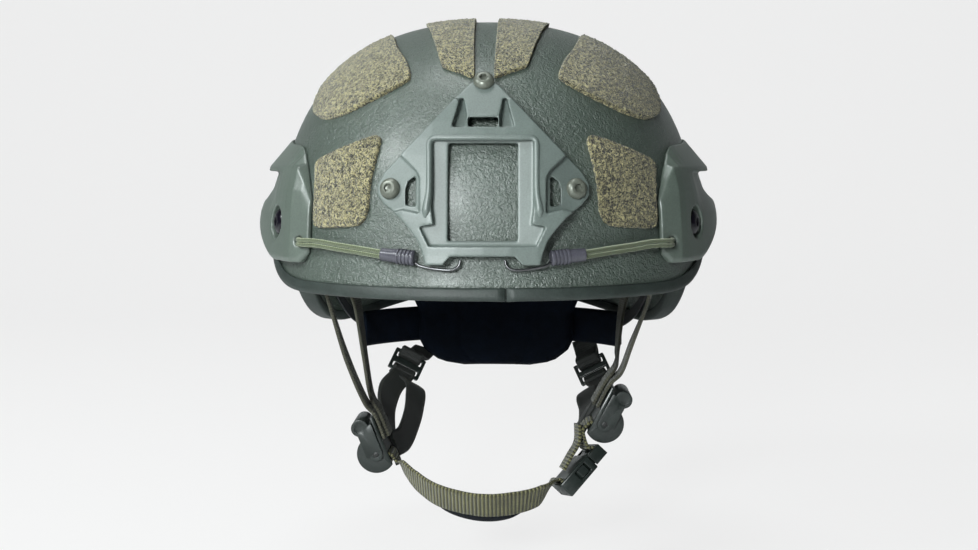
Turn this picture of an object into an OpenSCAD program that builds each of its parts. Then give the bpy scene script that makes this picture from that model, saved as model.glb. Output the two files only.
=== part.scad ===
// High-cut combat helmet with side rails, a front shroud, loop panels and a four point chin harness.
// The face looks along -Y, +X is the wearer's left, +Z is up. The origin lies on the symmetry plane
// at half the shell's length, level with the front rim. Turns are degrees from the front centre.

/* [Shell] */
// Half of the shell's width at its widest level
half_w = 114; // [108:1:120]
// How much the shell widens behind the ears, on each side
rear_wide = 4; // [2:0.5:6]
// Half of the shell's length
half_l = 136; // [130:1:142]
// Height of the dome above the widest level
dome_h = 121; // [115:1:127]
// Widest level above the front rim
widest_z = 17; // [14:1:20]
// Thickness of the shell wall
wall = 8; // [7:0.5:9]
// How far the wall flares out at its rim
flare = 3; // [1:0.5:4]
// Height over which the flare fades out
flare_h = 30; // [20:1:40]
// Height of the ear cut above the front rim
ear_rise = 35; // [30:1:38]
// Depth of the rear lobes below the front rim
lobe_drop = 35; // [30:1:38]
// Rise of the rear centre above the rear lobes
nape_rise = 16; // [12:1:18]

/* [Edge trim] */
// Height of the rubber trim on the wall
trim_h = 4.5; // [3:0.5:6]
// Thickness of the rubber trim
trim_t = 1.2; // [0.8:0.1:1.6]

/* [Loop panels] */
// Thickness of the loop panels
loop_t = 2.2; // [1.5:0.1:3]

/* [Shroud] */
// Thickness of the shroud's base plate
plate_t = 4; // [3:0.5:5]
// Height of the shroud's raised body over the shell
body_t = 8.5; // [7:0.5:10]
// Half width of the shroud's window
window_half = 16; // [14:0.5:17]
// Height of the window's lower edge
window_low = 26.2; // [25:0.2:28]
// Height of the window's upper edge
window_top = 71; // [68:1:72]
// Half width of the channel that takes a mount
channel_half = 23.5; // [22:0.5:24]

/* [Screws] */
// Diameter of the shroud's and rails' screw shanks
shank_d = 4; // [3:0.5:5]
// Diameter of a shroud screw's head
head_d = 10; // [9:0.5:11]
// Height of a shroud screw's head
head_h = 3; // [2.5:0.5:4]
// Diameter of a rail screw's domed head
dome_d = 14; // [12:0.5:15]
// Height of a rail screw's domed head
dome_head_h = 4; // [3:0.5:5]
// Diameter of the nuts' flange inside the shell
flange_d = 15; // [13:0.5:16]
// Thickness of the nuts' flange
flange_t = 1.2; // [1:0.1:1.5]

/* [Rails] */
// Turn of a rail's front end
rail_front = 41.1; // [40.5:0.2:42]
// Turn of a rail's rear end
rail_rear = 138; // [134:1:142]
// Reach of the upper lip
lip_reach = 9; // [8:0.5:10]
// Reach of the lower body
low_reach = 10; // [9:0.5:11.5]
// Depth of the rail's floor under the groove
floor_t = 3.6; // [3:0.2:4.5]
// Height of the groove's upper face
groove_top = 57.5; // [56:0.5:59]
// Height of the groove's lower face
groove_low = 48.5; // [47:0.5:50]
// Diameter of the cord holes in the rails
cord_hole_d = 5; // [4.5:0.5:6]

/* [Bungee] */
// Diameter of one bungee strand
strand_d = 2; // [1.6:0.1:2.4]
// Diameter of the ferrule on the strands
ferrule_d = 7.4; // [6.5:0.2:8]
// Length of the ferrule
ferrule_len = 9; // [8:0.5:10.5]
// Diameter of the hook's wire
wire_d = 1.5; // [1.2:0.1:1.8]

/* [Liner] */
// Thickness of the liner pads
pad_t = 15; // [12:1:18]
// Thickness of the hook squares that hold the pads
hook_t = 1.8; // [1.5:0.1:2]

/* [Harness] */
// Width of the side straps
strap_w = 16; // [14:1:18]
// Thickness of the webbing
web_t = 1.6; // [1.2:0.1:2]
// Width of the chin strap
chin_w = 19; // [18:1:20]
// Height of the nape band
band_h = 22; // [20:1:24]
// Thickness of the nape band
band_t = 4; // [3:0.5:5]
// Thickness of the nape pad
nape_t = 9; // [7:1:11]
// Thickness of the chin cup
cup_t = 4; // [3:0.5:5]

/* [Fit dial] */
// Diameter of the dial knob
knob_d = 28; // [26:1:30]
// Thickness of the dial knob
knob_t = 8; // [7:0.5:9]
// Number of teeth on the pinion
teeth = 10; // [8:2:12]
// Pitch of the teeth along the racks
tooth_pitch = 3.2; // [3:0.1:3.4]
// Length of each rack
rack_len = 50; // [49:1:54]
// Width of the arms that tie the racks to the shell
arm_w = 8; // [7:0.5:9]
// Thickness of the arms
arm_t = 1.6; // [1.2:0.1:2]

/* [Strap adjusters] */
// Length of a cam lever from its pin to its thumb lip
lever_len = 17; // [16:0.5:20]
// Diameter of a lever's pin
pin_d = 3; // [2.5:0.5:3.5]
// Radius of an adjuster's cheeks
cheek_r = 10.8; // [10:0.2:11]

/* [Buckle] */
// Length of the buckle's socket
socket_len = 20; // [19:1:24]
// Length of the plug outside the socket
plug_len = 8.6; // [8.4:0.2:10]
// Width of the buckle
buckle_w = 26; // [24:1:28]
// Thickness of the buckle
buckle_t = 9; // [8:0.5:10]
// Wall of the buckle's socket
socket_wall = 1.6; // [1.4:0.1:1.8]

/* [Hidden] */
$fn = 32;

// Exponents of the shell's plan and of its dome
plan_n = 2.2;
dome_n = 2.4;
// Clearance between pieces that are laid on each other
gap = 0.3;
// Running clearance of pins and shafts, on the radius
run = 0.08;
shell_cols = 72;
shell_rows = 13;

olive = "#6b6a4a";
paint = "#5c675c";
satin = "#6f7a70";
dark = "#22262c";
plastic = "#39423c";

// Vector helpers
function unit(v) = v / norm(v);
function mix(a, b, k) = a + (b - a) * k;
function ease(a, b, x) = let(k = min(1, max(0, (x - a) / (b - a)))) k * k * (3 - 2 * k);
function flip(p) = [-p[0], p[1], p[2]];

// Rim height at a turn: level in front, up over the ear, down to the rear lobe and up at the nape.
// The mean of three turns rounds the top of the ear cut.
function rim_cut(turn) = let(t = abs(turn) > 180 ? 360 - abs(turn) : abs(turn))
    ear_rise * ease(47, 96, t) - (ear_rise + lobe_drop) * ease(88, 127, t)
    + nape_rise * ease(130, 176, t);
rim_soft = 6;
function rim_z(turn) = (rim_cut(turn - rim_soft) + rim_cut(turn) + rim_cut(turn + rim_soft)) / 3;

// Points of the shell's surface and of surfaces laid at a distance off it
function wide_at(turn) = let(t = abs(turn) > 180 ? 360 - abs(turn) : abs(turn))
    half_w + rear_wide * ease(88, 122, t) * (1 - ease(140, 176, t));
function plan_r(turn, off) =
    pow(pow(abs(sin(turn)) / (wide_at(turn) + off), plan_n) + pow(abs(cos(turn)) / (half_l + off), plan_n),
        -1 / plan_n);
function flare_at(turn, z) = flare * pow(max(0, min(1, 1 - (z - rim_z(turn)) / flare_h)), 2);
function on_shell(turn, rise, off) =
    let(z = widest_z + (dome_h + off) * sign(rise) * pow(abs(sin(rise)), 2 / dome_n),
        inset = rise <= 0 ? 1 : pow(max(0, cos(rise)), 2 / dome_n),
        r = plan_r(turn, off) * inset + flare_at(turn, z))
    [r * sin(turn), -r * cos(turn), z];
function rise_at(z, off) = let(q = min(1, (z - widest_z) / (dome_h + off)))
    sign(q) * asin(pow(abs(q), dome_n / 2));
function at_level(turn, z, off) = on_shell(turn, rise_at(z, off), off);
function across(turn, z) = unit(at_level(turn + 0.5, z, 0) - at_level(turn - 0.5, z, 0));
function upward(turn, z) = unit(at_level(turn, z + 0.5, 0) - at_level(turn, z - 0.5, 0));
function outward(turn, z) = unit(cross(across(turn, z), upward(turn, z)));

// Point at a height, off the shell's surface along its normal
function at_wall(turn, z, off) = at_level(turn, z, 0) + off * outward(turn, z);

// Point of the shell's surface under a point in plan
function from_above(x, y, off) =
    let(turn = atan2(x, -y), k = min(1, norm([x, y]) / plan_r(turn, 0))) on_shell(turn, acos(pow(k, dome_n / 2)), off);

// Places children at p, on the given directions of X, Y and Z
module placed(p, x, y, z) multmatrix([[x[0], y[0], z[0], p[0]], [x[1], y[1], z[1], p[1]], [x[2], y[2], z[2], p[2]]])
    children();

// Places children with +Z along the shell's outward normal and +X along its level tangent
module on_wall(turn, z, off = 0) {
    x = across(turn, z);
    n = outward(turn, z);
    placed(at_level(turn, z, 0) + off * n, x, cross(n, x), n) children();
}

// Closed skin through rings of equal count; the end rings are flat and stay open to any outline
module loft(rings) {
    n = len(rings[0]);
    m = len(rings);
    polyhedron(
        points = [for (r = rings) each r],
        faces = concat(
            [[for (i = [0:n - 1]) i]],
            [[for (i = [n - 1:-1:0]) (m - 1) * n + i]],
            [for (j = [0:m - 2], i = [0:n - 1]) let(a = j * n + i, b = j * n + (i + 1) % n)
                each [[a, a + n, b], [b, a + n, b + n]]]));
}

// Closed skin through rings that end in a point on both sides
module pod(first, rings, last) {
    n = len(rings[0]);
    m = len(rings);
    points = concat([first], [for (r = rings) each r], [last]);
    polyhedron(points = points,
        faces = concat(
            [for (i = [0:n - 1]) [0, 1 + i, 1 + (i + 1) % n]],
            [for (j = [0:m - 2], i = [0:n - 1])
                let(a = 1 + j * n + i, b = 1 + j * n + (i + 1) % n) each [[a, a + n, b], [b, a + n, b + n]]],
            [for (i = [0:n - 1]) [m * n + 1, 1 + (m - 1) * n + (i + 1) % n, 1 + (m - 1) * n + i]]));
}

// Solid between two grids of points of equal size
module slab(low, high) {
    rows = len(low);
    cols = len(low[0]);
    n = rows * cols;
    edge = concat([for (j = [0:cols - 1]) j], [for (i = [1:rows - 1]) i * cols + cols - 1],
        [for (j = [cols - 2:-1:0]) (rows - 1) * cols + j], [for (i = [rows - 2:-1:1]) i * cols]);
    polyhedron(points = concat([for (r = low) each r], [for (r = high) each r]),
        faces = concat(
            [for (i = [0:rows - 2], j = [0:cols - 2]) let(a = i * cols + j)
                each [[a, a + cols, a + 1], [a + 1, a + cols, a + cols + 1],
                    [n + a, n + a + 1, n + a + cols], [n + a + 1, n + a + cols + 1, n + a + cols]]],
            [for (k = [0:len(edge) - 1]) let(a = edge[k], b = edge[(k + 1) % len(edge)])
                each [[a, b, n + a], [b, n + b, n + a]]]));
}

// Puts k even steps between the points of a list
function refine(list, k) = concat(
    [for (i = [0:len(list) - 2], j = [0:k - 1]) mix(list[i], list[i + 1], j / k)],
    [list[len(list) - 1]]);

// Solid draped on the shell between two edges, each a list of [turn, rise]
module draped(inner, outer, low, high, cols = 6, k = 3) {
    a = refine(inner, k);
    b = refine(outer, k);
    function sheet(off) = [for (i = [0:len(a) - 1]) [for (j = [0:cols])
        let(p = mix(a[i], b[i], j / cols)) on_shell(p[0], p[1], off)]];
    slab(sheet(low), sheet(high));
}

// Flat strip along a path: its width follows the directions in wide, w is its width and t its thickness
function along_of(path, i) = unit(path[min(len(path) - 1, i + 1)] - path[max(0, i - 1)]);
function side_of(path, wide, i) = let(d = along_of(path, i)) unit(wide[i] - d * (wide[i] * d));
function face_of(path, wide, i) = cross(side_of(path, wide, i), along_of(path, i));
// The width isn't squared to the path, so a sideways bend shears the strip and never folds it.
function flat_of(path, wide, i) = unit(cross(wide[i], along_of(path, i)));
module strip(points, wide, w, t, k = 3) {
    path = smooth(points, k);
    turned = refine(wide, k);
    loft([for (i = [0:len(path) - 1])
        let(s = unit(turned[i]) * w / 2, f = flat_of(path, turned, i) * t / 2)
        [path[i] - s - f, path[i] + s - f, path[i] + s + f, path[i] - s + f]]);
}

// Smooth curve through points, with k steps between neighbours
function spline_at(a, b, c, d, x) =
    0.5 * (2 * b + (c - a) * x + (2 * a - 5 * b + 4 * c - d) * x * x + (3 * b - a - 3 * c + d) * x * x * x);
function smooth(p, k) = let(m = len(p) - 1) concat(
    [for (i = [0:m - 1], j = [0:k - 1])
        spline_at(i == 0 ? 2 * p[0] - p[1] : p[i - 1], p[i], p[i + 1],
            i + 2 > m ? 2 * p[m] - p[m - 1] : p[i + 2], j / k)],
    [p[m]]);

// Round tube along a path
module tube(points, r, sides = 6, k = 3) {
    path = smooth(points, k);
    up = [for (p = path) [0, 0, 1]];
    loft([for (i = [0:len(path) - 1])
        let(s = side_of(path, up, i), f = face_of(path, up, i))
        [for (a = [0:sides - 1]) path[i] + r * (cos(360 * a / sides) * s + sin(360 * a / sides) * f)]]);
}

// Shell and trim

// How far the lobe of the top screw lies below the raised body
lip_drop = 2;
// Screw places as [turn, height]: three of the shroud, then two of one rail
// and the seat of each shroud screw's head over the shell
shroud_spots = [[0, 96, body_t - lip_drop], [18.2, 49.3, plate_t], [-18.2, 49.3, plate_t]];
rail_fore = [53.5, 32];
rail_aft = [126, 24];

function rim_ring(off, dz) = [for (i = [0:shell_cols - 1])
    let(t = i * 360 / shell_cols) at_level(t, rim_z(t) + dz, off)];
function dome_ring(off, k) = [for (i = [0:shell_cols - 1])
    let(t = i * 360 / shell_cols, low = rise_at(rim_z(t), off)) on_shell(t, mix(low, 90, k), off)];

module wall_holes(d) {
    for (p = shroud_spots) on_wall(p[0], p[1], -wall - 4) cylinder(h = wall + 8, d = d);
    for (s = [-1, 1], p = [rail_fore, rail_aft])
        on_wall(s * p[0], p[1], -wall - 4) cylinder(h = wall + 8, d = d);
}

module shell() color(paint) difference() {
    pod(on_shell(0, 90, 0),
        concat([for (j = [1:shell_rows]) dome_ring(0, 1 - j / shell_rows)],
            [for (j = [shell_rows:-1:1]) dome_ring(-wall, 1 - j / shell_rows)]),
        on_shell(0, 90, -wall));
    wall_holes(shank_d + 0.4);
}

module edge_trim() color(dark) {
    near = 0.3;
    out = trim_t + near;
    rings = [rim_ring(near, trim_h), rim_ring(out, trim_h), rim_ring(out, -out), rim_ring(-wall - out, -out),
        rim_ring(-wall - out, trim_h), rim_ring(-wall - near, trim_h), rim_ring(-wall - near, -near),
        rim_ring(near, -near)];
    n = shell_cols;
    m = len(rings);
    polyhedron(points = [for (r = rings) each r],
        faces = [for (j = [0:m - 1], i = [0:n - 1])
            let(a = j * n + i, b = j * n + (i + 1) % n, c = ((j + 1) % m) * n + i, d = ((j + 1) % m) * n + (i + 1) % n)
            each [[a, c, b], [b, c, d]]]);
}

// Loop panels, drawn for the wearer's left and mirrored: the upper two in plan as [x, y] on a shell
// of 114 by 136, which in_plan fits to this one, the others as [turn, rise]
function in_plan(p) = [p[0] * half_w / 114, p[1] * half_l / 136];

crown_in = [[4, -109], [4.5, -96], [5.1, -66], [5.2, -24]];
crown_out = [[20.9, -100.4], [23.9, -87.5], [28.3, -64], [34, -24]];
upper_in = [[33.8, -103.2], [37.6, -90], [44, -70], [49, -36]];
upper_out = [[85.5, -72], [88.2, -61], [88.6, -48], [86, -30]];
// How far the middle of an upper panel's front edge bows forward
upper_bow = [5.2, -8.6];
lower_in = [[24.4, 4.6], [23.6, 8], [23.4, 13], [22.6, 20], [21.6, 25.4]];
lower_out = [[40, 3.8], [40.2, 7], [40.4, 10.5], [41.2, 14.5], [42.6, 18]];
rear_in = [[152, 8], [151, 20], [152, 34]];
rear_out = [[208, 8], [209, 20], [208, 34]];

module top_panel(inner, outer, bow = [0, 0]) {
    a = smooth(inner, 3);
    b = smooth(outer, 3);
    cols = 6;
    rows = len(a) - 1;
    function sheet(off) = [for (i = [0:rows]) [for (j = [0:cols])
        let(u = j / cols, p = in_plan(mix(a[i], b[i], u) + bow * 4 * u * (1 - u) * pow(1 - i / rows, 2)))
        from_above(p[0], p[1], off)]];
    slab(sheet(gap / 2), sheet(loop_t));
}
module loop_crown_left() { color(olive) top_panel(crown_in, crown_out); }
module loop_crown_right() { mirror([1, 0, 0]) loop_crown_left(); }
module loop_upper_left() { color(olive) top_panel(upper_in, upper_out, upper_bow); }
module loop_upper_right() { mirror([1, 0, 0]) loop_upper_left(); }
module loop_lower_left() { color(olive) draped(lower_in, lower_out, gap / 2, loop_t); }
module loop_lower_right() { mirror([1, 0, 0]) loop_lower_left(); }
module loop_rear() { color(olive) draped(rear_in, rear_out, gap / 2, loop_t, 12, 4); }

// Shroud, seen from the front as outlines in [x, z]

function both(half) = concat(half, [for (i = [len(half) - 1:-1:0]) if (half[i][0] > 0) [-half[i][0], half[i][1]]]);
shroud_half = [[0, 101.4], [4, 100.8], [7.5, 98], [46, 57.5], [49.3, 52], [49.3, 47], [46, 42.8],
    [38.3, 37], [33.5, 31.5], [29.8, 26.5], [27.7, 21], [26.4, 15.4], [18.4, 15.4], [14.8, 19.4], [0, 19.4]];
// Low ground round a side screw and beside the tongue above the slot
tab_pocket = [[29, 39], [29, 55], [30.5, 58.3], [44, 71], [62, 60], [62, 36], [44, 36.6], [41.5, 39.4], [36.8, 40.6]];
tongue_side = [[9.2, 92], [10.8, 92], [14.5, 78.4], [7.6, 78.4], [7.6, 84]];
lobe_half = [[0, 110], [14, 110], [14, 93], [11.5, 91], [9, 84], [0, 84]];
slot_half = [[0, 83], [7, 83], [7, 78.6], [0, 78.6]];
// Channel for a sliding mount, wider at its mouth
channel_low = 24;
channel_mouth = 29;
mouth_z = 33;
lip_low = 42;
channel_floor = 2.2;

module outline_block(points) translate([0, -half_l + 30, 0]) rotate([90, 0, 0])
    linear_extrude(height = 60) polygon(points);
module front_band(low, high) {
    function grid(off) = [for (z = [12:7.7:104.4]) [for (t = [-25:5:25]) at_level(t, z, off)]];
    slab(grid(low), grid(high));
}

// What lies over a flat floor that is square to the shell at a turn and height
module over_floor(points, turn, z, floor_off) intersection() {
    outline_block(points);
    on_wall(turn, z, floor_off) translate([-70, -70, 0]) cube([140, 140, 40]);
}

module nvg_shroud() color(satin) difference() {
    intersection() {
        outline_block(both(shroud_half));
        front_band(gap, body_t);
    }
    over_floor(both([[0, window_top + 1.5], [channel_half, window_top + 1.5], [channel_half, lip_low],
        [channel_half - 1, mouth_z + 1], [channel_mouth, mouth_z], [channel_half + 1, channel_low],
        [0, channel_low]]), 0, 48, channel_floor);
    over_floor(tab_pocket, shroud_spots[1][0], shroud_spots[1][1], plate_t);
    mirror([1, 0, 0]) over_floor(tab_pocket, shroud_spots[1][0], shroud_spots[1][1], plate_t);
    for (s = [-1, 1]) over_floor([for (p = tongue_side) [s * p[0], p[1]]], 0, 86, plate_t - 1);
    over_floor(both(lobe_half), shroud_spots[0][0], shroud_spots[0][1], body_t - lip_drop);
    outline_block(both([[0, window_top], [window_half, window_top], [window_half, window_low], [0, window_low]]));
    outline_block(both(slot_half));
    for (s = [-1, 1]) outline_block([[s * 31, 56], [s * 34.5, 53.6], [s * 35.8, 50], [s * 35.8, 42.5], [s * 31, 42]]);
    for (p = shroud_spots) on_wall(p[0], p[1], -2) cylinder(h = 20, d = shank_d + 0.3);
}

module button_screw(seat) {
    r = head_d / 2;
    difference() {
        union() {
            translate([0, 0, seat]) rotate_extrude()
                polygon([[0, 0], [r, 0], [r, 0.6], [r * 0.9, head_h * 0.6], [r * 0.65, head_h * 0.92], [0, head_h]]);
            translate([0, 0, -wall - 1]) cylinder(h = seat + wall + 1.2, d = shank_d);
        }
        translate([0, 0, seat + head_h - 2]) cylinder(h = 3, r = r * 0.42, $fn = 6);
    }
}
module shroud_screws() color("#7b7f70")
    for (p = shroud_spots) on_wall(p[0], p[1]) button_screw(p[2] + 0.3);

// Depth of the wall's inner face along the normal at a place, found by halving between a and b
function plan_reach(p) = norm([p[0], p[1]]);
function is_inside(p) = plan_reach(p) < plan_reach(at_level(atan2(p[0], -p[1]), p[2], -wall));
function wall_depth(turn, z, a = wall - 2, b = wall + 4, n = 10) = n == 0 ? b : let(m = (a + b) / 2)
    is_inside(at_wall(turn, z, -m)) ? wall_depth(turn, z, a, m, n - 1) : wall_depth(turn, z, m, b, n - 1);

// Flanged nuts inside the shell, one for each screw; a flat flange stands off the curved wall
nut_gap = 0.8;
module flange_nuts() color("#8a8d86") {
    for (p = concat(shroud_spots, [for (s = [-1, 1], q = [rail_fore, rail_aft]) [s * q[0], q[1]]]))
        on_wall(p[0], p[1], -wall_depth(p[0], p[1]) - nut_gap - flange_t) difference() {
            cylinder(h = flange_t, d = flange_d);
            translate([0, 0, -1]) cylinder(h = flange_t + 2, d = shank_d + 2 * run);
        }
}

// Rails: a section in [off, height] swept along the turn

function rail_top(t) = 44 + 27 * pow(sin(90 * min(1, max(0, (t - rail_front) / 12))), 0.8)
    + 4 * ease(50, 85, t) - 20 * ease(100, rail_rear, t) - 20 * ease(rail_rear - 8, rail_rear + 3, t);
function rail_low(t) = max(13 * (1 - ease(85, 110, t)) - 6 * ease(85, 110, t), rim_z(t) + 9)
    + 5 * (1 - ease(rail_front, rail_front + 2.5, t)) + 8 * ease(rail_rear - 5, rail_rear + 1, t);
function rail_swell(t) = ease(rail_front - 1, rail_front + 6, t) * (1 - ease(rail_rear - 8, rail_rear + 1, t));
function groove_cut(t) = ease(54, 62, t) * (1 - ease(rail_rear - 16, rail_rear - 10, t));
function rail_section(t) =
    let(top = rail_top(t), low = rail_low(t), swell = rail_swell(t), cut = groove_cut(t),
        body = 2.2 + (5.3 + (low_reach - 7.5) * ease(50, 75, t)) * swell,
        lip = 2 + (4.5 + (lip_reach - 6.5) * ease(50, 80, t)) * swell,
        z3 = min(top - 12, max(36.7, low + 3)), z4 = min(top - 9, max(41.8, low + 4.5)),
        z5 = min(top - 6, max(groove_low, low + 7)), z6 = min(top - 3, groove_top))
    [[gap, low], [body - 1.2, low], [body, low + 2], [body, z3],
        [mix(body, body - 1.5, cut), z4], [mix(body, floor_t + 1.4, cut), z5],
        [mix(lip, floor_t, cut), z6], [lip, z6 + 0.2], [lip, min(top - 1.5, z6 + 2.6)],
        [1.4, top], each [for (k = [0:4]) [gap, mix(top - 0.1, low, k / 5)]]];
rail_steps = 40;

module rail_holes() {
    for (p = [rail_fore, rail_aft]) {
        on_wall(p[0], p[1], -2) cylinder(h = 24, d = shank_d + 0.3);
        on_wall(p[0], p[1], rail_seat) cylinder(h = 12, d = dome_d + 2.4);
    }
    on_wall(cord_turn, cord_z, -1) cylinder(h = 14, d = cord_hole_d);
    on_wall(rail_rear - 7, 8, -1) cylinder(h = 16, d = 5);
}
rail_seat = 4.2;
cord_turn = 43.3;
cord_z = 23.5;

module rail_left() color(satin) difference() {
    loft([for (k = [0:rail_steps]) let(t = mix(rail_front, rail_rear, k / rail_steps))
        [for (q = rail_section(t)) at_level(t, q[1], q[0])]]);
    rail_holes();
}
module rail_right() { mirror([1, 0, 0]) rail_left(); }

module dome_screw() {
    r = dome_d / 2;
    difference() {
        union() {
            translate([0, 0, rail_seat + 0.1]) rotate_extrude()
                polygon([[0, 0], [r, 0], [r, 0.8], [r * 0.85, dome_head_h * 0.62], [r * 0.55, dome_head_h * 0.9], [0, dome_head_h]]);
            translate([0, 0, -wall - 1]) cylinder(h = rail_seat + wall + 1.2, d = shank_d);
        }
        translate([0, 0, rail_seat + dome_head_h - 1.8]) cylinder(h = 3, r = r * 0.34, $fn = 6);
    }
}
module rail_screws() color("#1c1e22") {
    for (s = [-1, 1], p = [rail_fore, rail_aft]) on_wall(s * p[0], p[1]) dome_screw();
}

// Bungees: two strands from the rail's cord hole to a ferrule, and a wire hook in the shroud's notch

strand_off = 3.4;
ferrule_turn = 14.6;
ferrule_z = 18.7;
ferrule_mid = at_level(ferrule_turn, ferrule_z, ferrule_d / 2 + 0.9);
ferrule_dir = unit(at_level(ferrule_turn - 4, ferrule_z - 0.9, 4) - at_level(ferrule_turn + 4, ferrule_z + 0.9, 4));
ferrule_level = unit(cross([0, 0, 1], ferrule_dir));
function in_sleeve(x, dz) = ferrule_mid + x * ferrule_dir + dz * cross(ferrule_dir, ferrule_level);
function strand_path(dz) = [
    at_level(cord_turn + 0.3, cord_z + dz, 3.9), at_level(cord_turn, cord_z + dz, 5.2),
    at_level(cord_turn - 1, cord_z + dz, 6.9), at_level(cord_turn - 2.4, cord_z + dz, 7.4),
    at_level(38.4, cord_z + 0.1 + dz, 6.5),
    at_level(35.5, cord_z - 0.1 + dz, 5.1), at_level(31, 22.3 + dz, strand_off + 0.4),
    at_level(25.6, 21.2 + dz, strand_off + 0.2), in_sleeve(-13.6, dz), in_sleeve(-8, dz)];
module bungee_left() color("#8d8f62") {
    for (s = [-1, 1]) tube(strand_path(s * (strand_d / 2 + 0.15)), strand_d / 2);
}
module bungee_right() { mirror([1, 0, 0]) bungee_left(); }

// Both strands end in one bore of the sleeve
bore_run = 0.45;
bore_deep = 6;
module ferrule_left() color("#4a4650") difference() {
    placed(ferrule_mid, ferrule_level, cross(ferrule_dir, ferrule_level), ferrule_dir) {
        r = ferrule_d / 2;
        ribs = 5;
        step = ferrule_len / ribs;
        translate([0, 0, -ferrule_len / 2]) rotate_extrude() polygon(concat([[0, 0]],
            [for (i = [0:ribs - 1]) each [[r - 0.5, i * step], [r, i * step + 0.3], [r, i * step + step - 0.5], [r - 0.5, i * step + step - 0.2]]],
            [[r - 0.6, ferrule_len], [0, ferrule_len]]));
        translate([0, 0, -ferrule_len / 2 - 7.5]) cylinder(h = 7.6, r1 = 3, r2 = 3.3);
    }
    placed(ferrule_mid, ferrule_level, cross(ferrule_dir, ferrule_level), ferrule_dir)
        translate([0, 0, -ferrule_len / 2 - 7.6]) cylinder(h = bore_deep, r = strand_d + bore_run);
}
module ferrule_right() { mirror([1, 0, 0]) ferrule_left(); }

hook_start = ferrule_mid + ferrule_dir * (ferrule_len / 2 + 0.05) - [0, 0, 2.1];
hook_path = [hook_start, hook_start + ferrule_dir * 3 - [0, 0, 1.3], at_level(9, 13.4, 3.8), at_level(6.6, 13, 3.7),
    at_level(5.3, 13.4, 3.5), at_level(4.5, 15, 3.2), at_level(4.2, 17.6, 3)];
module hook_left() color("#9a9d9c") tube(hook_path, wire_d / 2, 8, 4);
module hook_right() { mirror([1, 0, 0]) hook_left(); }

// Liner pads: crowned cushions with drawn in sides against the inside of the shell

hook_near = 0.6;
liner_off = wall + hook_near + hook_t + gap;
function bulge(u, v) = pow(max(0, 1 - pow(abs(2 * u - 1), 4)) * max(0, 1 - pow(abs(2 * v - 1), 4)), 0.3);
module cushion(t0, t1, s0, s1, cols = 9, rows = 8) {
    function pt(i, j, deep) =
        let(u = j / cols, v = i / rows, b = bulge(u, v), pull = 0.045 * (1 - b) * (deep ? 0.4 : 1),
            uu = 0.5 + (u - 0.5) * (1 - 2 * pull), vv = 0.5 + (v - 0.5) * (1 - 2 * pull))
        on_shell(mix(t0, t1, uu), mix(s0, s1, vv),
            -liner_off - (deep ? pad_t * (0.3 + 0.7 * b) : 1.6 * (1 - b)));
    slab([for (i = [0:rows]) [for (j = [0:cols]) pt(i, j, true)]],
        [for (i = [0:rows]) [for (j = [0:cols]) pt(i, j, false)]]);
}
module pad_front() { color(dark) cushion(-24, 24, 8, 33); }
module pad_rear() { color(dark) cushion(154, 206, -6, 28); }
module pad_temple_left() { color(dark) cushion(34, 68, 16, 46); }
module pad_temple_right() { color(dark) cushion(-68, -34, 16, 46); }
module pad_side_left() { color(dark) cushion(98, 136, 16, 46); }
module pad_side_right() { color(dark) cushion(-136, -98, 16, 46); }
module pad_crown() {
    turns = 28;
    function ring(rise, off) = [for (i = [0:turns - 1]) on_shell(i * 360 / turns, rise, off)];
    deep = -liner_off - pad_t;
    color(dark) pod(on_shell(0, 90, -liner_off),
        [ring(84, -liner_off), ring(74, -liner_off), ring(65, -liner_off), ring(61.5, -liner_off - 2),
            ring(60, -liner_off - 5), ring(60.5, -liner_off - 9), ring(63, deep + 2), ring(67, deep + 0.6),
            ring(75, deep), ring(84, deep)],
        on_shell(0, 90, deep));
}

// Hook squares stuck to the shell behind each pad
module square_at(t, s, dt, ds) draped([[t - dt, s - ds], [t - dt, s + ds]],
    [[t + dt, s - ds], [t + dt, s + ds]], -wall - hook_near - hook_t, -wall - hook_near, 3, 2);
module hook_squares() color("#15171a") {
    square_at(0, 19, 8, 5.5);
    square_at(180, 11, 9, 6);
    for (t = [51, -51, 117, -117]) square_at(t, 31, 7, 5.5);
    on_crown = 62;
    for (t = [0, 90, 180, 270]) square_at(t, on_crown + 9, 12, 4);
}

// Plates under the rail nuts that hold the side straps
tab_w = strap_w + 5;
tab_len = 20;
tab_t = 1.6;
tab_slot = 3.4;
tab_slot_y = -tab_len + 2.5 + tab_slot / 2;
// Depth of a tab's inner face from the wall's
tab_deep = nut_gap + flange_t + 0.1 + tab_t;
module anchor_tabs() color("#3a3f3c")
    for (s = [-1, 1], p = [rail_fore, rail_aft]) on_wall(s * p[0], p[1], -wall_depth(s * p[0], p[1]) - tab_deep)
        difference() {
            union() {
                cylinder(h = tab_t, d = tab_w);
                translate([-tab_w / 2, -tab_len, 0]) cube([tab_w, tab_len, tab_t]);
            }
            translate([0, 0, -1]) cylinder(h = tab_t + 2, d = shank_d + 0.6);
            translate([-strap_w / 2 - 0.4, tab_slot_y - tab_slot / 2, -1]) cube([strap_w + 0.8, tab_slot, tab_t + 2]);
        }

// Nape band and pad, fit dial and its racks behind them

nape_off = -18;
band_top = -30;
band_mid = band_top - band_h / 2;
dial_y = -at_level(180, band_mid, nape_off)[1];
module nape_band() {
    function sheet(off) = [for (z = [0:3]) [for (t = [133:4.7:227])
        at_nape(t, band_top - band_h * (1 - z / 3), off + (z == 0 || z == 3 ? (off < nape_off ? 0.8 : -0.8) : 0))]];
    color(dark) slab(sheet(nape_off - band_t), sheet(nape_off));
}
function at_nape(t, z, off) = let(r = plan_r(t, off)) [r * sin(t), -r * cos(t), z];

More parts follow.
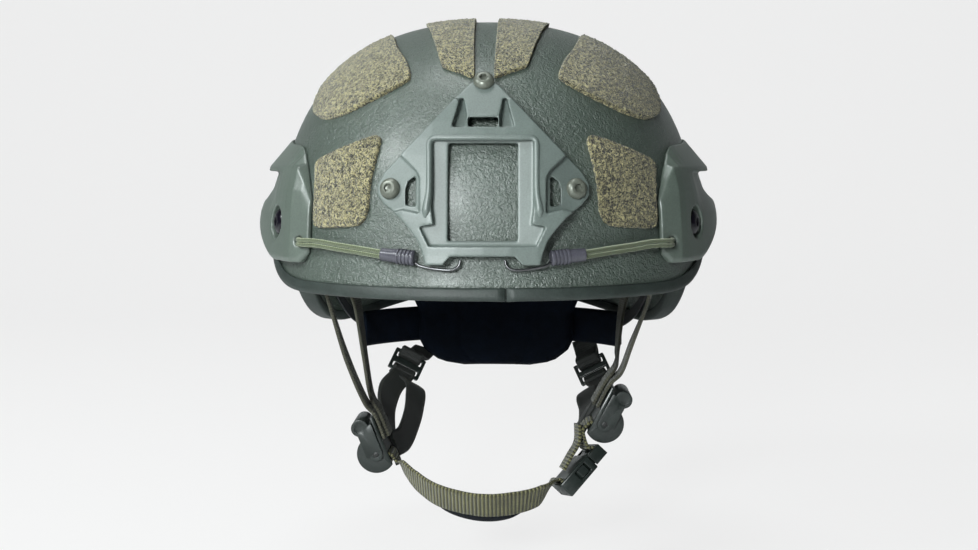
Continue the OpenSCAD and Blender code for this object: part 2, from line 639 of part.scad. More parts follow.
// Half width of the nape pad in degrees at a height, drawn in at its lower corners, and the turn of
// its middle, which hangs a little to the wearer's left
pad_turn = 178.5;
function nape_half(z) = lookup(z, [[-68, 11], [-65, 19], [-57, 24.5], [-50, 26.5], [-34, 26], [-24, 28.5], [-14, 29]]);
module nape_pad() {
    cols = 12;
    rows = 10;
    high = -14;
    low = -68;
    function pt(i, j, deep) =
        let(v = i / rows, u = j / cols, b = bulge(u, v), z = mix(low, high, v))
        at_nape(pad_turn + (u - 0.5) * 2 * nape_half(z), z + (deep ? 0 : 0.5),
            nape_off - band_t - gap - (deep ? nape_t * (0.35 + 0.65 * b) : 0.2 + 1.4 * (1 - b)));
    color(dark) slab([for (i = [0:rows]) [for (j = [0:cols]) pt(i, j, true)]],
        [for (i = [0:rows]) [for (j = [0:cols]) pt(i, j, false)]]);
}

rack_pitch_r = teeth * tooth_pitch / (2 * PI);
tooth_h = 1.7;
rack_body = 3;
rack_t = 3;
housing_w = 50;
housing_wall = 1.6;
rear_y = at_nape(180, band_mid, nape_off)[1] + 0.4;
rack_y = rear_y + housing_wall + gap;
housing_t = 2 * housing_wall + rack_t + 2 * gap;
// Faces of a rack over the pinion's axis
mesh_gap = 0.1;
rack_base = rack_pitch_r + tooth_h / 2 + mesh_gap;
rack_back = rack_base + rack_body;
slot_h = 2 * (rack_back + gap);
rack_start = -3 * tooth_pitch;
rack_teeth = 10;

module rack_bar() {
    translate([0, 0, rack_base]) cube([rack_len, rack_t, rack_body]);
    for (i = [0:rack_teeth - 1]) translate([(i + 0.5) * tooth_pitch, rack_t, 0])
        rotate([90, 0, 0]) linear_extrude(height = rack_t)
            polygon([[-0.25 * tooth_pitch, rack_base + 0.01], [-0.1 * tooth_pitch, rack_base - tooth_h],
                [0.1 * tooth_pitch, rack_base - tooth_h], [0.25 * tooth_pitch, rack_base + 0.01]]);
}
module rack_left() color("#2c3033") translate([rack_start, rack_y, band_mid]) rack_bar();
module rack_right() color("#2c3033") translate([0, 0, 2 * band_mid]) mirror([0, 0, 1]) mirror([1, 0, 0]) rack_left();

module dial_pinion() color("#2c3033") translate([0, rack_y, band_mid]) rotate([-90, 0, 0]) {
    root_r = rack_pitch_r - tooth_h / 2 - 0.15;
    tip_r = rack_pitch_r + tooth_h / 2 - 0.15;
    cylinder(h = rack_t, r = root_r);
    for (i = [0:teeth - 1]) rotate([0, 0, i * 360 / teeth]) linear_extrude(height = rack_t)
        polygon([[-0.72, root_r - 0.4], [-0.3, tip_r], [0.3, tip_r], [0.72, root_r - 0.4]]);
    cylinder(h = rack_t + gap + housing_wall + 0.4 + knob_t - 2, r = 2.2);
    translate([0, 0, -gap - housing_wall + 0.3]) cylinder(h = 3, r = 1.6);
}
module dial_housing() color("#25282b") difference() {
    union() {
        translate([-housing_w / 2, rear_y, band_mid - slot_h / 2 - housing_wall])
            cube([housing_w, housing_t, slot_h + 2 * housing_wall]);
        translate([0, rear_y, band_mid]) rotate([-90, 0, 0]) cylinder(h = housing_t, d = knob_d + 4);
    }
    translate([-housing_w / 2 - 1, rack_y - gap, band_mid - slot_h / 2]) cube([housing_w + 2, rack_t + 2 * gap, slot_h]);
    translate([0, rear_y + 0.3, band_mid]) rotate([-90, 0, 0]) cylinder(h = 3, r = 1.6 + run);
    translate([0, rear_y + 3, band_mid]) rotate([-90, 0, 0]) cylinder(h = housing_t, r = 2.2 + run);
}
module dial_knob() color("#1b1d20") translate([0, rear_y + housing_t + 0.4, band_mid]) rotate([-90, 0, 0])
    difference() {
        rotate_extrude($fn = 90) polygon([[0, 0], [knob_d / 2, 0], [knob_d / 2, knob_t - 2],
            [knob_d / 2 - 2.5, knob_t], [0, knob_t]]);
        for (i = [0:17]) rotate([0, 0, i * 20]) translate([knob_d / 2 + 0.8, 0, -1])
            cylinder(h = knob_t + 2, r = 1.6);
        translate([0, 0, -1]) cylinder(h = knob_t - 0.95, r = 2.2 + 0.02);
    }

arm_off = -wall - 3.5;
function arm_path(s) = concat(
    [[s * (rack_start + rack_len + 2 * gap), rack_y + rack_t / 2, band_mid + s * (rack_base + rack_body / 2)]],
    [at_wall(s * 154, -41 + s * 1.5, -wall - 3)],
    [for (q = [[146, -41], [138, -38], [130, -27], [121, -10]]) at_wall(s * q[0], q[1], arm_off)],
    [at_wall(s * 112, 9, -wall - arm_t / 2 - 0.6)]);
arm_wide = [for (i = [0:6]) [0, 0, 1]];
module arm_left() { color("#2c3033") strip(arm_path(1), arm_wide, arm_w, arm_t); }
module arm_right() { color("#2c3033") strip(arm_path(-1), arm_wide, arm_w, arm_t); }

// Strap adjusters: each has its own place and lean, drawn on the wearer's left and mirrored for the right

left_spot = [68, -10, -72.3];
left_lean = 28;
right_spot = [65, -10, -89.4];
right_lean = 22;
lever_half = 13.4;
cheek_half = 11;
cheek_t = 2.5;
pin_z = -10;
pin_x = 1;
plate_x = -5.1;
plate_d = 2;
plate_low = pin_z - 8;
plate_top = 10;
slot_low = plate_low + 2.5;
slot_tall = 4;
// Rear lug whose outer bar the nape strap goes round
lug_reach = 7.2;
lug_bar = 2.7;
lug_slot = 2.5;
lug_low = -24;
lug_z = lug_low + 2.5 + (strap_w + 1) / 2;

module at_adjuster(left) {
    if (left) translate(left_spot) rotate([0, left_lean, 0]) children();
    else mirror([1, 0, 0]) translate(right_spot) rotate([0, right_lean, 0]) children();
}
function adj_point(left, x, y, z) =
    let(lean = left ? left_lean : right_lean, spot = left ? left_spot : right_spot,
        p = spot + [x * cos(lean) + z * sin(lean), y, -x * sin(lean) + z * cos(lean)])
    left ? p : flip(p);

module y_rod(r, half) rotate([90, 0, 0]) translate([0, 0, -half]) cylinder(h = 2 * half, r = r);

module adjuster_body() {
    difference() {
        union() {
            translate([plate_x, -cheek_half, plate_low]) cube([plate_d, 2 * cheek_half, plate_top - plate_low]);
            for (s = [-1, 1]) translate([pin_x, s * (cheek_half - cheek_t / 2), pin_z]) y_rod(cheek_r, cheek_t / 2);
            translate([plate_x, cheek_half - 1, lug_low]) cube([plate_d, lug_reach + 1, strap_w + 6]);
        }
        translate([plate_x - 10, -cheek_half - 1, -40]) cube([10, 2 * cheek_half + 2, 60]);
        translate([pin_x, 0, pin_z]) y_rod(pin_d / 2 + run, cheek_half + 2);
        translate([plate_x - 1, -chin_w / 2 - 0.5, slot_low]) cube([plate_d + 2, chin_w + 1, slot_tall]);
        translate([plate_x - 1, cheek_half + lug_reach - lug_bar - lug_slot, lug_low + 2.5])
            cube([plate_d + 2, lug_slot, strap_w + 1]);
    }
}
lever_w = 9.2;
lever_eye = 3.8;
lever_roll = 4.7;
module lever_body() {
    bar = lever_half - cheek_half - 0.4;
    difference() {
        union() {
            for (s = [-1, 1]) translate([pin_x, s * (cheek_half + 0.4 + bar / 2), pin_z]) {
                y_rod(lever_eye, bar / 2);
                translate([-lever_eye, -bar / 2, 0]) cube([lever_w, bar, lever_len]);
            }
            translate([pin_x - 3.8, -lever_half, pin_z + cheek_r + 0.4])
                cube([3, 2 * lever_half, lever_len - cheek_r - 0.4]);
            translate([pin_x + 2.8, 0, pin_z + lever_len]) y_rod(lever_roll, lever_half);
        }
        for (s = [-1, 1]) translate([pin_x + 2.8, s * lever_half, pin_z + lever_len]) y_rod(3, 0.9);
        translate([pin_x, 0, pin_z]) y_rod(pin_d / 2 + run, lever_half + 2);
    }
}
module adjuster_left() { color(plastic) at_adjuster(true) adjuster_body(); }
module adjuster_right() { color(plastic) at_adjuster(false) adjuster_body(); }
module lever_left() { color(plastic) at_adjuster(true) lever_body(); }
module lever_right() { color(plastic) at_adjuster(false) lever_body(); }
module lever_pins() color("#9a9d9c")
    for (left = [true, false]) at_adjuster(left) translate([pin_x, 0, pin_z]) y_rod(pin_d / 2, lever_half);

// Side straps from the slots of the anchor tabs to the adjusters, where the two lie on each other

function tab_point(left, spot, y, z) =
    let(t = left ? spot[0] : -spot[0], n = outward(t, spot[1]), face = -wall_depth(t, spot[1]) - tab_deep)
    at_level(t, spot[1], 0) + y * cross(n, across(t, spot[1])) + (face + z) * n;
function from_tab(left, spot) = [tab_point(left, spot, tab_slot_y, tab_t / 2),
    tab_point(left, spot, tab_slot_y - 1.4, -1.6), tab_point(left, spot, tab_slot_y - 6, -2)];
function strap_end(left, layer, y) = let(x = plate_x - 0.5 - web_t / 2 - layer * (web_t + 0.5))
    [adj_point(left, x + 2, y * 3, plate_top + 10), adj_point(left, x, y, plate_top), adj_point(left, x, y, -4)];
function tab_across(left, spot) = let(t = left ? spot[0] : -spot[0], a = across(t, 0)) a * sign(a[1]);
function side_wide(left, spot) = let(a = tab_across(left, spot))
    [a, a, a, mix(a, [0, 1, 0], 0.7), mix(a, [0, 1, 0], 0.95), [0, 1, 0], [0, 1, 0], [0, 1, 0]];
function side_mid(left, a, b) = left ? [a, b] : [flip(a), flip(b)];
front_left = concat(from_tab(true, rail_fore), side_mid(true, [84, -58, -10], [77.5, -36, -35]), strap_end(true, 0, -2.5));
front_right = concat(from_tab(false, rail_fore), side_mid(false, [82, -60, -10], [75.5, -40, -42]), strap_end(false, 0, -2.5));
rear_left = concat(from_tab(true, rail_aft), side_mid(true, [81, 64, -22], [75, 30, -46.5]), strap_end(true, 1, 2.5));
rear_right = concat(from_tab(false, rail_aft), side_mid(false, [82.5, 66, -24], [73.5, 28, -51]), strap_end(false, 1, 2.5));
module front_strap_left() { color(olive) strip(front_left, side_wide(true, rail_fore), strap_w, web_t); }
module front_strap_right() { color(olive) strip(front_right, side_wide(false, rail_fore), strap_w, web_t); }
module rear_strap_left() { color(olive) strip(rear_left, side_wide(true, rail_aft), strap_w, web_t); }
module rear_strap_right() { color(olive) strip(rear_right, side_wide(false, rail_aft), strap_w, web_t); }

// Nape straps: each is one loop from the adjuster's rear lug round the slider's lower bar, and a
// short loop from the slider's upper bar to the nape pad. Places are those of the wearer's left,
// and the right is mirrored.

slider_bar = 1.8;
slider_slot = 3.4;
slider_mid_bar = 3.4;
slider_t = 3;
slider_wide = unit([0.87, -0.09, 0.46]);
slider_back = unit(cross([-0.45, 0.45, 0.77], slider_wide));
slider_up = cross(slider_wide, slider_back);
function slider_mid(left) = left ? [64, 93, -69] : [54.4, 93.6, -66];
function slider_point(left, y, z) = slider_mid(left) + y * slider_back + z * slider_up;
function lug_point(left, x, y) = let(p = adj_point(left, x, cheek_half + lug_reach - lug_bar + y, lug_z))
    left ? p : flip(p);
loop_gap = slider_t / 2 + web_t / 2 + 2 * gap;
slot_mid = slider_mid_bar / 2 + slider_slot / 2;
bar_turn = [[-loop_gap - 0.9, 5.2], [-loop_gap - 0.1, 2.3], [-0.72 * loop_gap, 0.3], [0, -0.5], [0.72 * loop_gap, 0.3], [loop_gap + 0.1, 2.3], [loop_gap + 0.9, 5.2]];
function round_bar(left, side) = [for (q = bar_turn) slider_point(left, -side * q[0], side * (slot_mid + q[1]))];
outer_left = [[61, 18, -83], [65, 36, -81], [68, 54, -78], [69.5, 72, -74.5]];
outer_right = [[58, 20, -94.5], [61.5, 38, -89.5], [63.8, 56, -84], [62.5, 73, -77]];
inner_left = [[59.6, 74.8, -80], [59.5, 58, -84.5], [57.5, 40, -87], [53.6, 20, -86.2]];
inner_right = [[48.3, 76.4, -77.2], [47, 60, -85], [47.5, 40, -91.5], [50, 20, -98]];
lug_turn = web_t / 2 + gap + 0.5;
function nape_loop(left) = concat(
    [lug_point(left, plate_x + plate_d / 2 + 0.2, -1.3), lug_point(left, plate_x + plate_d + lug_turn - 0.3, -1),
        lug_point(left, plate_x + plate_d + lug_turn, 1.6)],
    left ? outer_left : outer_right, round_bar(left, -1), left ? inner_left : inner_right,
    [lug_point(left, plate_x - lug_turn, 1.6), lug_point(left, plate_x - lug_turn + 0.3, -1),
        lug_point(left, plate_x + plate_d / 2 - 0.2, -1.3)]);
function lug_wide(left) = let(lean = left ? left_lean : right_lean) [sin(lean), 0, cos(lean)];
function loop_wide(left) = let(a = lug_wide(left), b = slider_wide) concat(
    [a, a, a, mix(a, b, 0.1), mix(a, b, 0.3), mix(a, b, 0.6), mix(a, b, 0.9)], [b, b, b, b, b, b, b],
    [mix(a, b, 0.9), mix(a, b, 0.6), mix(a, b, 0.3), mix(a, b, 0.1), a, a, a]);
// The pad's loop ends with its two layers sewn together, on the band or below it on the pad
function hem_turn(left) = left ? 150.5 : 158;
function hem_back(left) = [sin(hem_turn(left)), -cos(hem_turn(left)), 0];
function hem_wide(left) = [-cos(hem_turn(left)), -sin(hem_turn(left)), 0.35];
function hem_at(left) = left ? at_nape(hem_turn(true), -51, nape_off + 2.3) : at_nape(hem_turn(false), -57.5, nape_off - 1.8);
function pad_loop(left) =
    let(hem = hem_at(left), near = mix(slider_mid(left), hem, 0.6), apart = (web_t + gap) / 2)
    concat([hem + hem_back(left) * apart, near + slider_back * 1.3], round_bar(left, 1),
        [near - slider_back * 1.3, hem - hem_back(left) * apart]);
module nape_strap(left) color(dark) mirror([left ? 0 : 1, 0, 0]) {
    strip(nape_loop(left), loop_wide(left), strap_w - 1, web_t);
    strip(pad_loop(left), [for (i = [0:10]) i == 0 || i == 10 ? hem_wide(left) : slider_wide], strap_w - 1, web_t);
}
module nape_strap_left() { nape_strap(true); }
module nape_strap_right() { nape_strap(false); }

module slider(left) color(plastic) mirror([left ? 0 : 1, 0, 0])
    placed(slider_mid(left), slider_wide, slider_back, slider_up) difference() {
        tall = slider_mid_bar + 2 * slider_slot + 2 * slider_bar;
        cube([strap_w + 5, slider_t, tall], center = true);
        for (side = [-1, 1]) translate([0, 0, side * slot_mid]) cube([strap_w + 1, slider_t + 2, slider_slot], center = true);
    }
module slider_left() { slider(true); }
module slider_right() { slider(false); }

// Chin strap, cup and buckle

buckle_dir = unit([-0.65, -0.28, -0.7]);
buckle_side = unit([0, 1, 0] - buckle_dir * buckle_dir[1]);
buckle_face = cross(buckle_side, buckle_dir);
buckle_mid = [53.4, -16.2, -104.8];
module at_buckle() placed(buckle_mid, buckle_side, buckle_face, -buckle_dir) children();
function buckle_point(x, y, z) = buckle_mid + x * buckle_side + y * buckle_face - z * buckle_dir;

hollow_w = buckle_w - 2 * socket_wall;
hollow_t = buckle_t - 2 * socket_wall;
hollow_low = -socket_len + 7;
socket_lip = 2;
strap_slot = 2.6;
plug_slot = socket_lip + 0.5 + plug_len - 1.4 - strap_slot;
latch_r = 1.8;
latch_w = 3.6;
latch_x = hollow_w / 2 - 0.5 - latch_w;
latch_low = hollow_low + 1;
latch_pin = 4;
// The socket lies below the buckle's middle and the plug enters from above
module buckle_socket() color(plastic) at_buckle() difference() {
    translate([-buckle_w / 2, -buckle_t / 2, -socket_len]) cube([buckle_w, buckle_t, socket_len + socket_lip]);
    translate([-hollow_w / 2, -hollow_t / 2, hollow_low]) cube([hollow_w, hollow_t, socket_len]);
    for (s = [-1, 1]) translate([s * buckle_w / 2 - 3, -hollow_t / 2, latch_low + 2.2]) cube([6, hollow_t, 8.1]);
    translate([-chin_w / 2 - 0.5, -buckle_t / 2 - 1, -socket_len + 2]) cube([chin_w + 1, buckle_t + 2, strap_slot]);
}
module buckle_plug() color(plastic) at_buckle() {
    difference() {
        translate([-buckle_w / 2, -buckle_t / 2 + 1, socket_lip + 0.5]) cube([buckle_w, buckle_t - 2, plug_len]);
        translate([-chin_w / 2 - 0.5, -buckle_t / 2, plug_slot]) cube([chin_w + 1, buckle_t + 2, strap_slot]);
        for (s = [-1, 1]) translate([s * (latch_x + latch_w / 2), 0, latch_pin]) {
            rotate([90, 0, 0]) cylinder(h = buckle_t, r = latch_r + 0.35, center = true);
            translate([-latch_w / 2 - 0.9, -hollow_t / 2 - 2, -latch_pin]) cube([latch_w + 1.8, hollow_t + 4, latch_pin]);
        }
    }
    translate([-3, -hollow_t / 2 + 0.4, latch_low]) cube([6, hollow_t - 0.8, -latch_low + 3]);
}
module latch_arm() {
    t = hollow_t - 0.8;
    translate([latch_x + latch_w / 2, 0, latch_pin]) rotate([90, 0, 0]) cylinder(h = t, r = latch_r, center = true);
    translate([latch_x, -t / 2, latch_low]) cube([latch_w * 0.7, t, latch_pin - latch_low]);
    rotate([90, 0, 0]) translate([latch_x, 0, -t / 2]) linear_extrude(height = t)
        polygon([[0, latch_low], [latch_w, latch_low + 2.5], [latch_w + 1.5, latch_low + 4.5], [latch_w + 1.5, latch_low + 9],
            [latch_w * 0.7, latch_low + 10], [0, latch_low + 10]]);
}
module latch_front() color(plastic) at_buckle() mirror([1, 0, 0]) latch_arm();
module latch_back() color(plastic) at_buckle() latch_arm();

// Each end loops through a slot: of the right adjuster, of the socket, of the left adjuster and of the plug
function from_slot(left) = let(z = slot_low + slot_tall / 2, x = plate_x - web_t / 2 - gap)
    [adj_point(left, plate_x + plate_d / 2, 0, z + 0.8), adj_point(left, plate_x - 0.9, 0, z - 0.2),
        adj_point(left, x - 0.4, 0, z - 2.2), adj_point(left, x - 1, 0, plate_low - 1.5)];
function to_slot(z) = [buckle_point(0, buckle_t / 2 + web_t / 2 + 1, z - 1.3), buckle_point(0, buckle_t / 2 - 1, z), buckle_point(0, 0, z)];
socket_slot_z = -socket_len + 2 + strap_slot / 2;
chin_path = concat(from_slot(false), [[-47.1, -17, -107.2], [-39.4, -24, -113.5], [-26.1, -34, -119.3], [-5.1, -42, -122.1], [13.3, -42, -121.2], [28.5, -37, -118]],
    to_slot(socket_slot_z));
chin_wide = [[0, -1, 0], [0, -1, 0], [0, -1, 0], [0, -1, 0.1], [0, -0.75, 0.5], [0, -0.65, 0.7], [0, -0.62, 0.78],
    [0, -0.62, 0.78], [0, -0.62, 0.78], [0.1, -0.66, 0.75], -buckle_side, -buckle_side, -buckle_side];
chin_steps = 4;
module chin_strap() { color(olive) strip(chin_path, chin_wide, chin_w, web_t, chin_steps); }

// The strap to the plug, and its free tail along the buckle's inner side
tail_path = [adj_point(true, plate_x - 5.6, 0, plate_low - 0.5), [49.5, -14, -93], [45, -19, -100.2], [41, -23, -106.5]];
module buckle_strap() color(olive) {
    strip(concat(from_slot(true), to_slot(plug_slot + strap_slot / 2)),
        [[0, 1, 0], [0, 1, 0], [0, 1, 0], [0, 1, 0], buckle_side, buckle_side, buckle_side], chin_w - 1, web_t);
    strip(tail_path, [for (i = [0:3]) [-0.1, 0.97, -0.15]], chin_w - 1, web_t);
}

// Cup laid along the inside of the chin strap and reaching below it, between two steps of the strap's path
cup_from = 23;
cup_to = 34;
cup_high = 20;
cup_drop = 6.5;
module chin_cup() {
    path = smooth(chin_path, chin_steps);
    turned = refine(chin_wide, chin_steps);
    rows = 6;
    cols = cup_to - cup_from;
    function pt(i, j, deep) =
        let(k = cup_from + j, v = i / rows, u = j / cols, b = bulge(u, v), high = cup_high * (1 - 0.6 * pow(abs(2 * u - 1), 3)))
        path[k] + unit(turned[k]) * (high * (v - 0.5) - cup_drop)
        + flat_of(path, turned, k) * (web_t / 2 + gap + (deep ? cup_t * (0.4 + 0.6 * b) : 0.4 * (1 - b)));
    color(dark) slab([for (i = [0:rows]) [for (j = [0:cols]) pt(i, j, false)]],
        [for (i = [0:rows]) [for (j = [0:cols]) pt(i, j, true)]]);
}

shell();
edge_trim();
loop_crown_left();
loop_crown_right();
loop_upper_left();
loop_upper_right();
loop_lower_left();
loop_lower_right();
loop_rear();
nvg_shroud();
shroud_screws();
rail_left();
rail_right();
rail_screws();
flange_nuts();
bungee_left();
bungee_right();
ferrule_left();
ferrule_right();
hook_left();
hook_right();
pad_crown();
pad_front();
pad_rear();
pad_temple_left();
pad_temple_right();
pad_side_left();
pad_side_right();
hook_squares();
anchor_tabs();
nape_band();
nape_pad();
dial_housing();
dial_knob();
dial_pinion();
rack_left();
rack_right();
arm_left();
arm_right();
front_strap_left();
front_strap_right();
rear_strap_left();
rear_strap_right();
nape_strap_left();
nape_strap_right();
slider_left();
slider_right();
adjuster_left();
adjuster_right();
lever_left();
lever_right();
lever_pins();
chin_strap();
chin_cup();
buckle_strap();
buckle_socket();
buckle_plug();
latch_front();
latch_back();
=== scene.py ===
import math

import bmesh
import bpy
import numpy as np
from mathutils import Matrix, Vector, noise


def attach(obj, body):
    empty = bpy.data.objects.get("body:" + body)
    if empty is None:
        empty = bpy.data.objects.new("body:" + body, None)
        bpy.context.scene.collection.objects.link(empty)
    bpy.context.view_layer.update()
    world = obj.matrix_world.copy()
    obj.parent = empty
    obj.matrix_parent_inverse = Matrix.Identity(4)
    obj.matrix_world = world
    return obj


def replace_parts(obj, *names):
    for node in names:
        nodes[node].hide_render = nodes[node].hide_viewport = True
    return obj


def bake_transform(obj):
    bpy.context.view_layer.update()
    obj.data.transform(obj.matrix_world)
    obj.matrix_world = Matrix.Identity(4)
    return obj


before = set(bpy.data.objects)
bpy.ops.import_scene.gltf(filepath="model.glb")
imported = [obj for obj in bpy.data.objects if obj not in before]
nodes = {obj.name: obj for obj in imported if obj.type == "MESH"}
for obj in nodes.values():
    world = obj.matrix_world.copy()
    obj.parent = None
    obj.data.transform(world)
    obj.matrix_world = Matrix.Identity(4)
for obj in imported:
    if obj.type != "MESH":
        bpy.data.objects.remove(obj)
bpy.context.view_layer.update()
scene = bpy.context.scene
MM, METRE = 0.001, 1000


# Shape of the shell, as in the part's source
HALF_W, REAR_WIDE, HALF_L = 114, 4, 136
DOME_H, WIDEST_Z, WALL = 121, 17, 8
FLARE, FLARE_H = 3, 30
EAR_RISE, EAR_FROM, EAR_TO = 35, 47, 96
LOBE_DROP, LOBE_FROM, LOBE_TO = 35, 88, 127
NAPE_RISE, NAPE_FROM, NAPE_TO = 16, 130, 176
WIDE_TO, WIDE_BACK = 122, 140
RIM_SOFT = 6
PLAN_N, DOME_N = 2.2, 2.4
GAP = 0.3
SIDES = ((True, "left"), (False, "right"))


def unit(v):
    v = np.array(v, float)
    return v / np.linalg.norm(v)


def mix(a, b, k):
    return a + (b - a) * k


def ease(a, b, x):
    k = min(1, max(0, (x - a) / (b - a)))
    return k * k * (3 - 2 * k)


def sin(d):
    return math.sin(math.radians(d))


def cos(d):
    return math.cos(math.radians(d))


def from_front(turn):
    """The same turn on either side, from 0 at the front to 180 at the rear."""
    return 360 - abs(turn) if abs(turn) > 180 else abs(turn)


def rim_cut(turn):
    t = from_front(turn)
    ear = EAR_RISE * ease(EAR_FROM, EAR_TO, t)
    lobe = (EAR_RISE + LOBE_DROP) * ease(LOBE_FROM, LOBE_TO, t)
    return ear - lobe + NAPE_RISE * ease(NAPE_FROM, NAPE_TO, t)


def rim_z(turn):
    return (rim_cut(turn - RIM_SOFT) + rim_cut(turn) + rim_cut(turn + RIM_SOFT)) / 3


def wide_at(turn):
    t = from_front(turn)
    return HALF_W + REAR_WIDE * ease(LOBE_FROM, WIDE_TO, t) * (1 - ease(WIDE_BACK, NAPE_TO, t))


def plan_r(turn, off):
    """Radius of the shell's plan, off millimetres outside its outer face."""
    sideways = abs(sin(turn) / (wide_at(turn) + off)) ** PLAN_N
    lengthways = abs(cos(turn) / (HALF_L + off)) ** PLAN_N
    return (sideways + lengthways) ** (-1 / PLAN_N)


def flare_at(turn, z):
    return FLARE * max(0, min(1, 1 - (z - rim_z(turn)) / FLARE_H)) ** 2


def polar(r, turn, z):
    return np.array([r * sin(turn), -r * cos(turn), z])


def on_shell(turn, rise, off):
    """Point of the shell at a turn and a rise, where 90 is the top of the dome."""
    z = WIDEST_Z + (DOME_H + off) * math.copysign(abs(sin(rise)) ** (2 / DOME_N), rise)
    inset = 1 if rise <= 0 else max(0, cos(rise)) ** (2 / DOME_N)
    return polar(plan_r(turn, off) * inset + flare_at(turn, z), turn, z)


def rise_at(z, off):
    q = min(1, (z - WIDEST_Z) / (DOME_H + off))
    return math.copysign(math.degrees(math.asin(abs(q) ** (DOME_N / 2))), q)


def at_level(turn, z, off):
    return on_shell(turn, rise_at(z, off), off)


def across(turn, z):
    return unit(at_level(turn + 0.5, z, 0) - at_level(turn - 0.5, z, 0))


def outward(turn, z):
    return unit(np.cross(across(turn, z), at_level(turn, z + 0.5, 0) - at_level(turn, z - 0.5, 0)))


def at_wall(turn, z, off):
    return at_level(turn, z, 0) + off * outward(turn, z)


def from_above(x, y, off):
    turn = math.degrees(math.atan2(x, -y))
    k = min(1, math.hypot(x, y) / plan_r(turn, 0))
    return on_shell(turn, math.degrees(math.acos(k ** (DOME_N / 2))), off)


def wall_depth(turn, z):
    """Depth of the wall's inner face along the normal, found by halving."""
    a, b = WALL - 2, WALL + 4
    for _ in range(10):
        m = (a + b) / 2
        p = at_wall(turn, z, -m)
        q = at_level(math.degrees(math.atan2(p[0], -p[1])), p[2], -WALL)
        a, b = (a, m) if math.hypot(p[0], p[1]) < math.hypot(q[0], q[1]) else (m, b)
    return b


def at_nape(turn, z, off):
    return polar(plan_r(turn, off), turn, z)


def flip(p):
    return np.array([-p[0], p[1], p[2]], float)


def sided(points, left):
    """The points as they are on the left, or mirrored to the right."""
    return [np.array(p, float) if left else flip(p) for p in points]


def smooth(points, k):
    """Catmull-Rom curve through the points, k steps between neighbours."""
    p = [np.array(q, float) for q in points]
    m = len(p) - 1
    ends = [2 * p[0] - p[1], *p, 2 * p[m] - p[m - 1]]
    out = []
    for i in range(m):
        a, b, c, d = ends[i : i + 4]
        for j in range(k):
            x = j / k
            second = (2 * a - 5 * b + 4 * c - d) * x**2
            third = (3 * b - a - 3 * c + d) * x**3
            out.append(0.5 * (2 * b + (c - a) * x + second + third))
    return [*out, p[m]]


def refine(values, k):
    """Straight steps between the values, k between neighbours."""
    v = [np.array(q, float) for q in values]
    return [*(mix(v[i], v[i + 1], j / k) for i in range(len(v) - 1) for j in range(k)), v[-1]]


def circle(middle, side, up, r, count):
    """Points of a ring round its middle, in the plane of side and up."""
    return [middle + r * (cos(360 * a / count) * side + sin(360 * a / count) * up) for a in range(count)]


# Helpers for materials: each adds its node to the tree of the node or socket that it is given first
SHINE, SHEEN = "Specular IOR Level", "Sheen Weight"
# The second span is the height of a bump over which its hollows take painted shade
PATCHY, HOLLOW_SHADE_SPAN = (0.3, 0.7), (0.3, 0.6)
# Slot name of each material: its own name, unless it shares another's
SLOT_OF = {}


def grow(owner, kind, **values):
    """A new node; each value is linked to the input of its name, or set there, or is a property."""
    tree = owner.id_data
    node = tree.nodes.new(kind)
    for key, value in values.items():
        if isinstance(value, bpy.types.NodeSocket):
            tree.links.new(value, node.inputs[key])
        elif key in node.inputs:
            node.inputs[key].default_value = value
        else:
            setattr(node, key, value)
    return node


def coords(owner, kind):
    return grow(owner, "ShaderNodeTexCoord").outputs[kind]


def noise_at(where, size_mm, detail=4, rough=0.55, squeeze=None, twist=0.0):
    """Noise whose lumps are about size_mm wide; squeeze stretches it along the axes."""
    if squeeze:
        where = grow(where, "ShaderNodeMapping", Vector=where, Scale=squeeze).outputs[0]
    node = grow(where, "ShaderNodeTexNoise", Vector=where, Scale=METRE / size_mm, Detail=detail,
                Roughness=rough, Distortion=twist)
    return node.outputs["Fac"]


def spread(value, low, high, start=0.0, end=1.0):
    """A number from start to end as value goes from low to high."""
    limits = {"From Min": low, "From Max": high, "To Min": start, "To Max": end}
    return grow(value, "ShaderNodeMapRange", Value=value, **limits).outputs["Result"]


def ramp(value, low, high, a, b):
    """Colour from a to b as value goes from low to high."""
    share = spread(value, low, high)
    return grow(value, "ShaderNodeMix", data_type="RGBA", A=(*a, 1), B=(*b, 1), Factor=share).outputs["Result"]


def patchy(value, colour, dark, light):
    """Patches of the colour, scaled by dark where value is low and by light where it is high."""
    a, b = ([min(1, c * k) for c in colour] for k in (dark, light))
    return ramp(value, *PATCHY, a, b)


def tint(colour, value, low, high, dark):
    """Scales colour by dark where value is low, and leaves it where value is high."""
    scale = spread(value, low, high, dark)
    return grow(value, "ShaderNodeVectorMath", operation="SCALE", Vector=colour, Scale=scale).outputs[0]


def bump(height, distance_mm, strength, **onto):
    values = {"Height": height, "Distance": distance_mm * MM, "Strength": strength, **onto}
    return grow(height, "ShaderNodeBump", **values).outputs["Normal"]


def blank(name, rough, **sockets):
    """A plain material and its shader."""
    made = bpy.data.materials.new(name)
    SLOT_OF[made] = name
    made.use_nodes = True
    shader = made.node_tree.nodes["Principled BSDF"]
    for key, value in {"Roughness": rough, **sockets}.items():
        shader.inputs[key].default_value = value
    return made, shader


def finish(shader, base, normal):
    links = shader.id_data.links
    links.new(base, shader.inputs["Base Color"])
    links.new(normal, shader.inputs["Normal"])


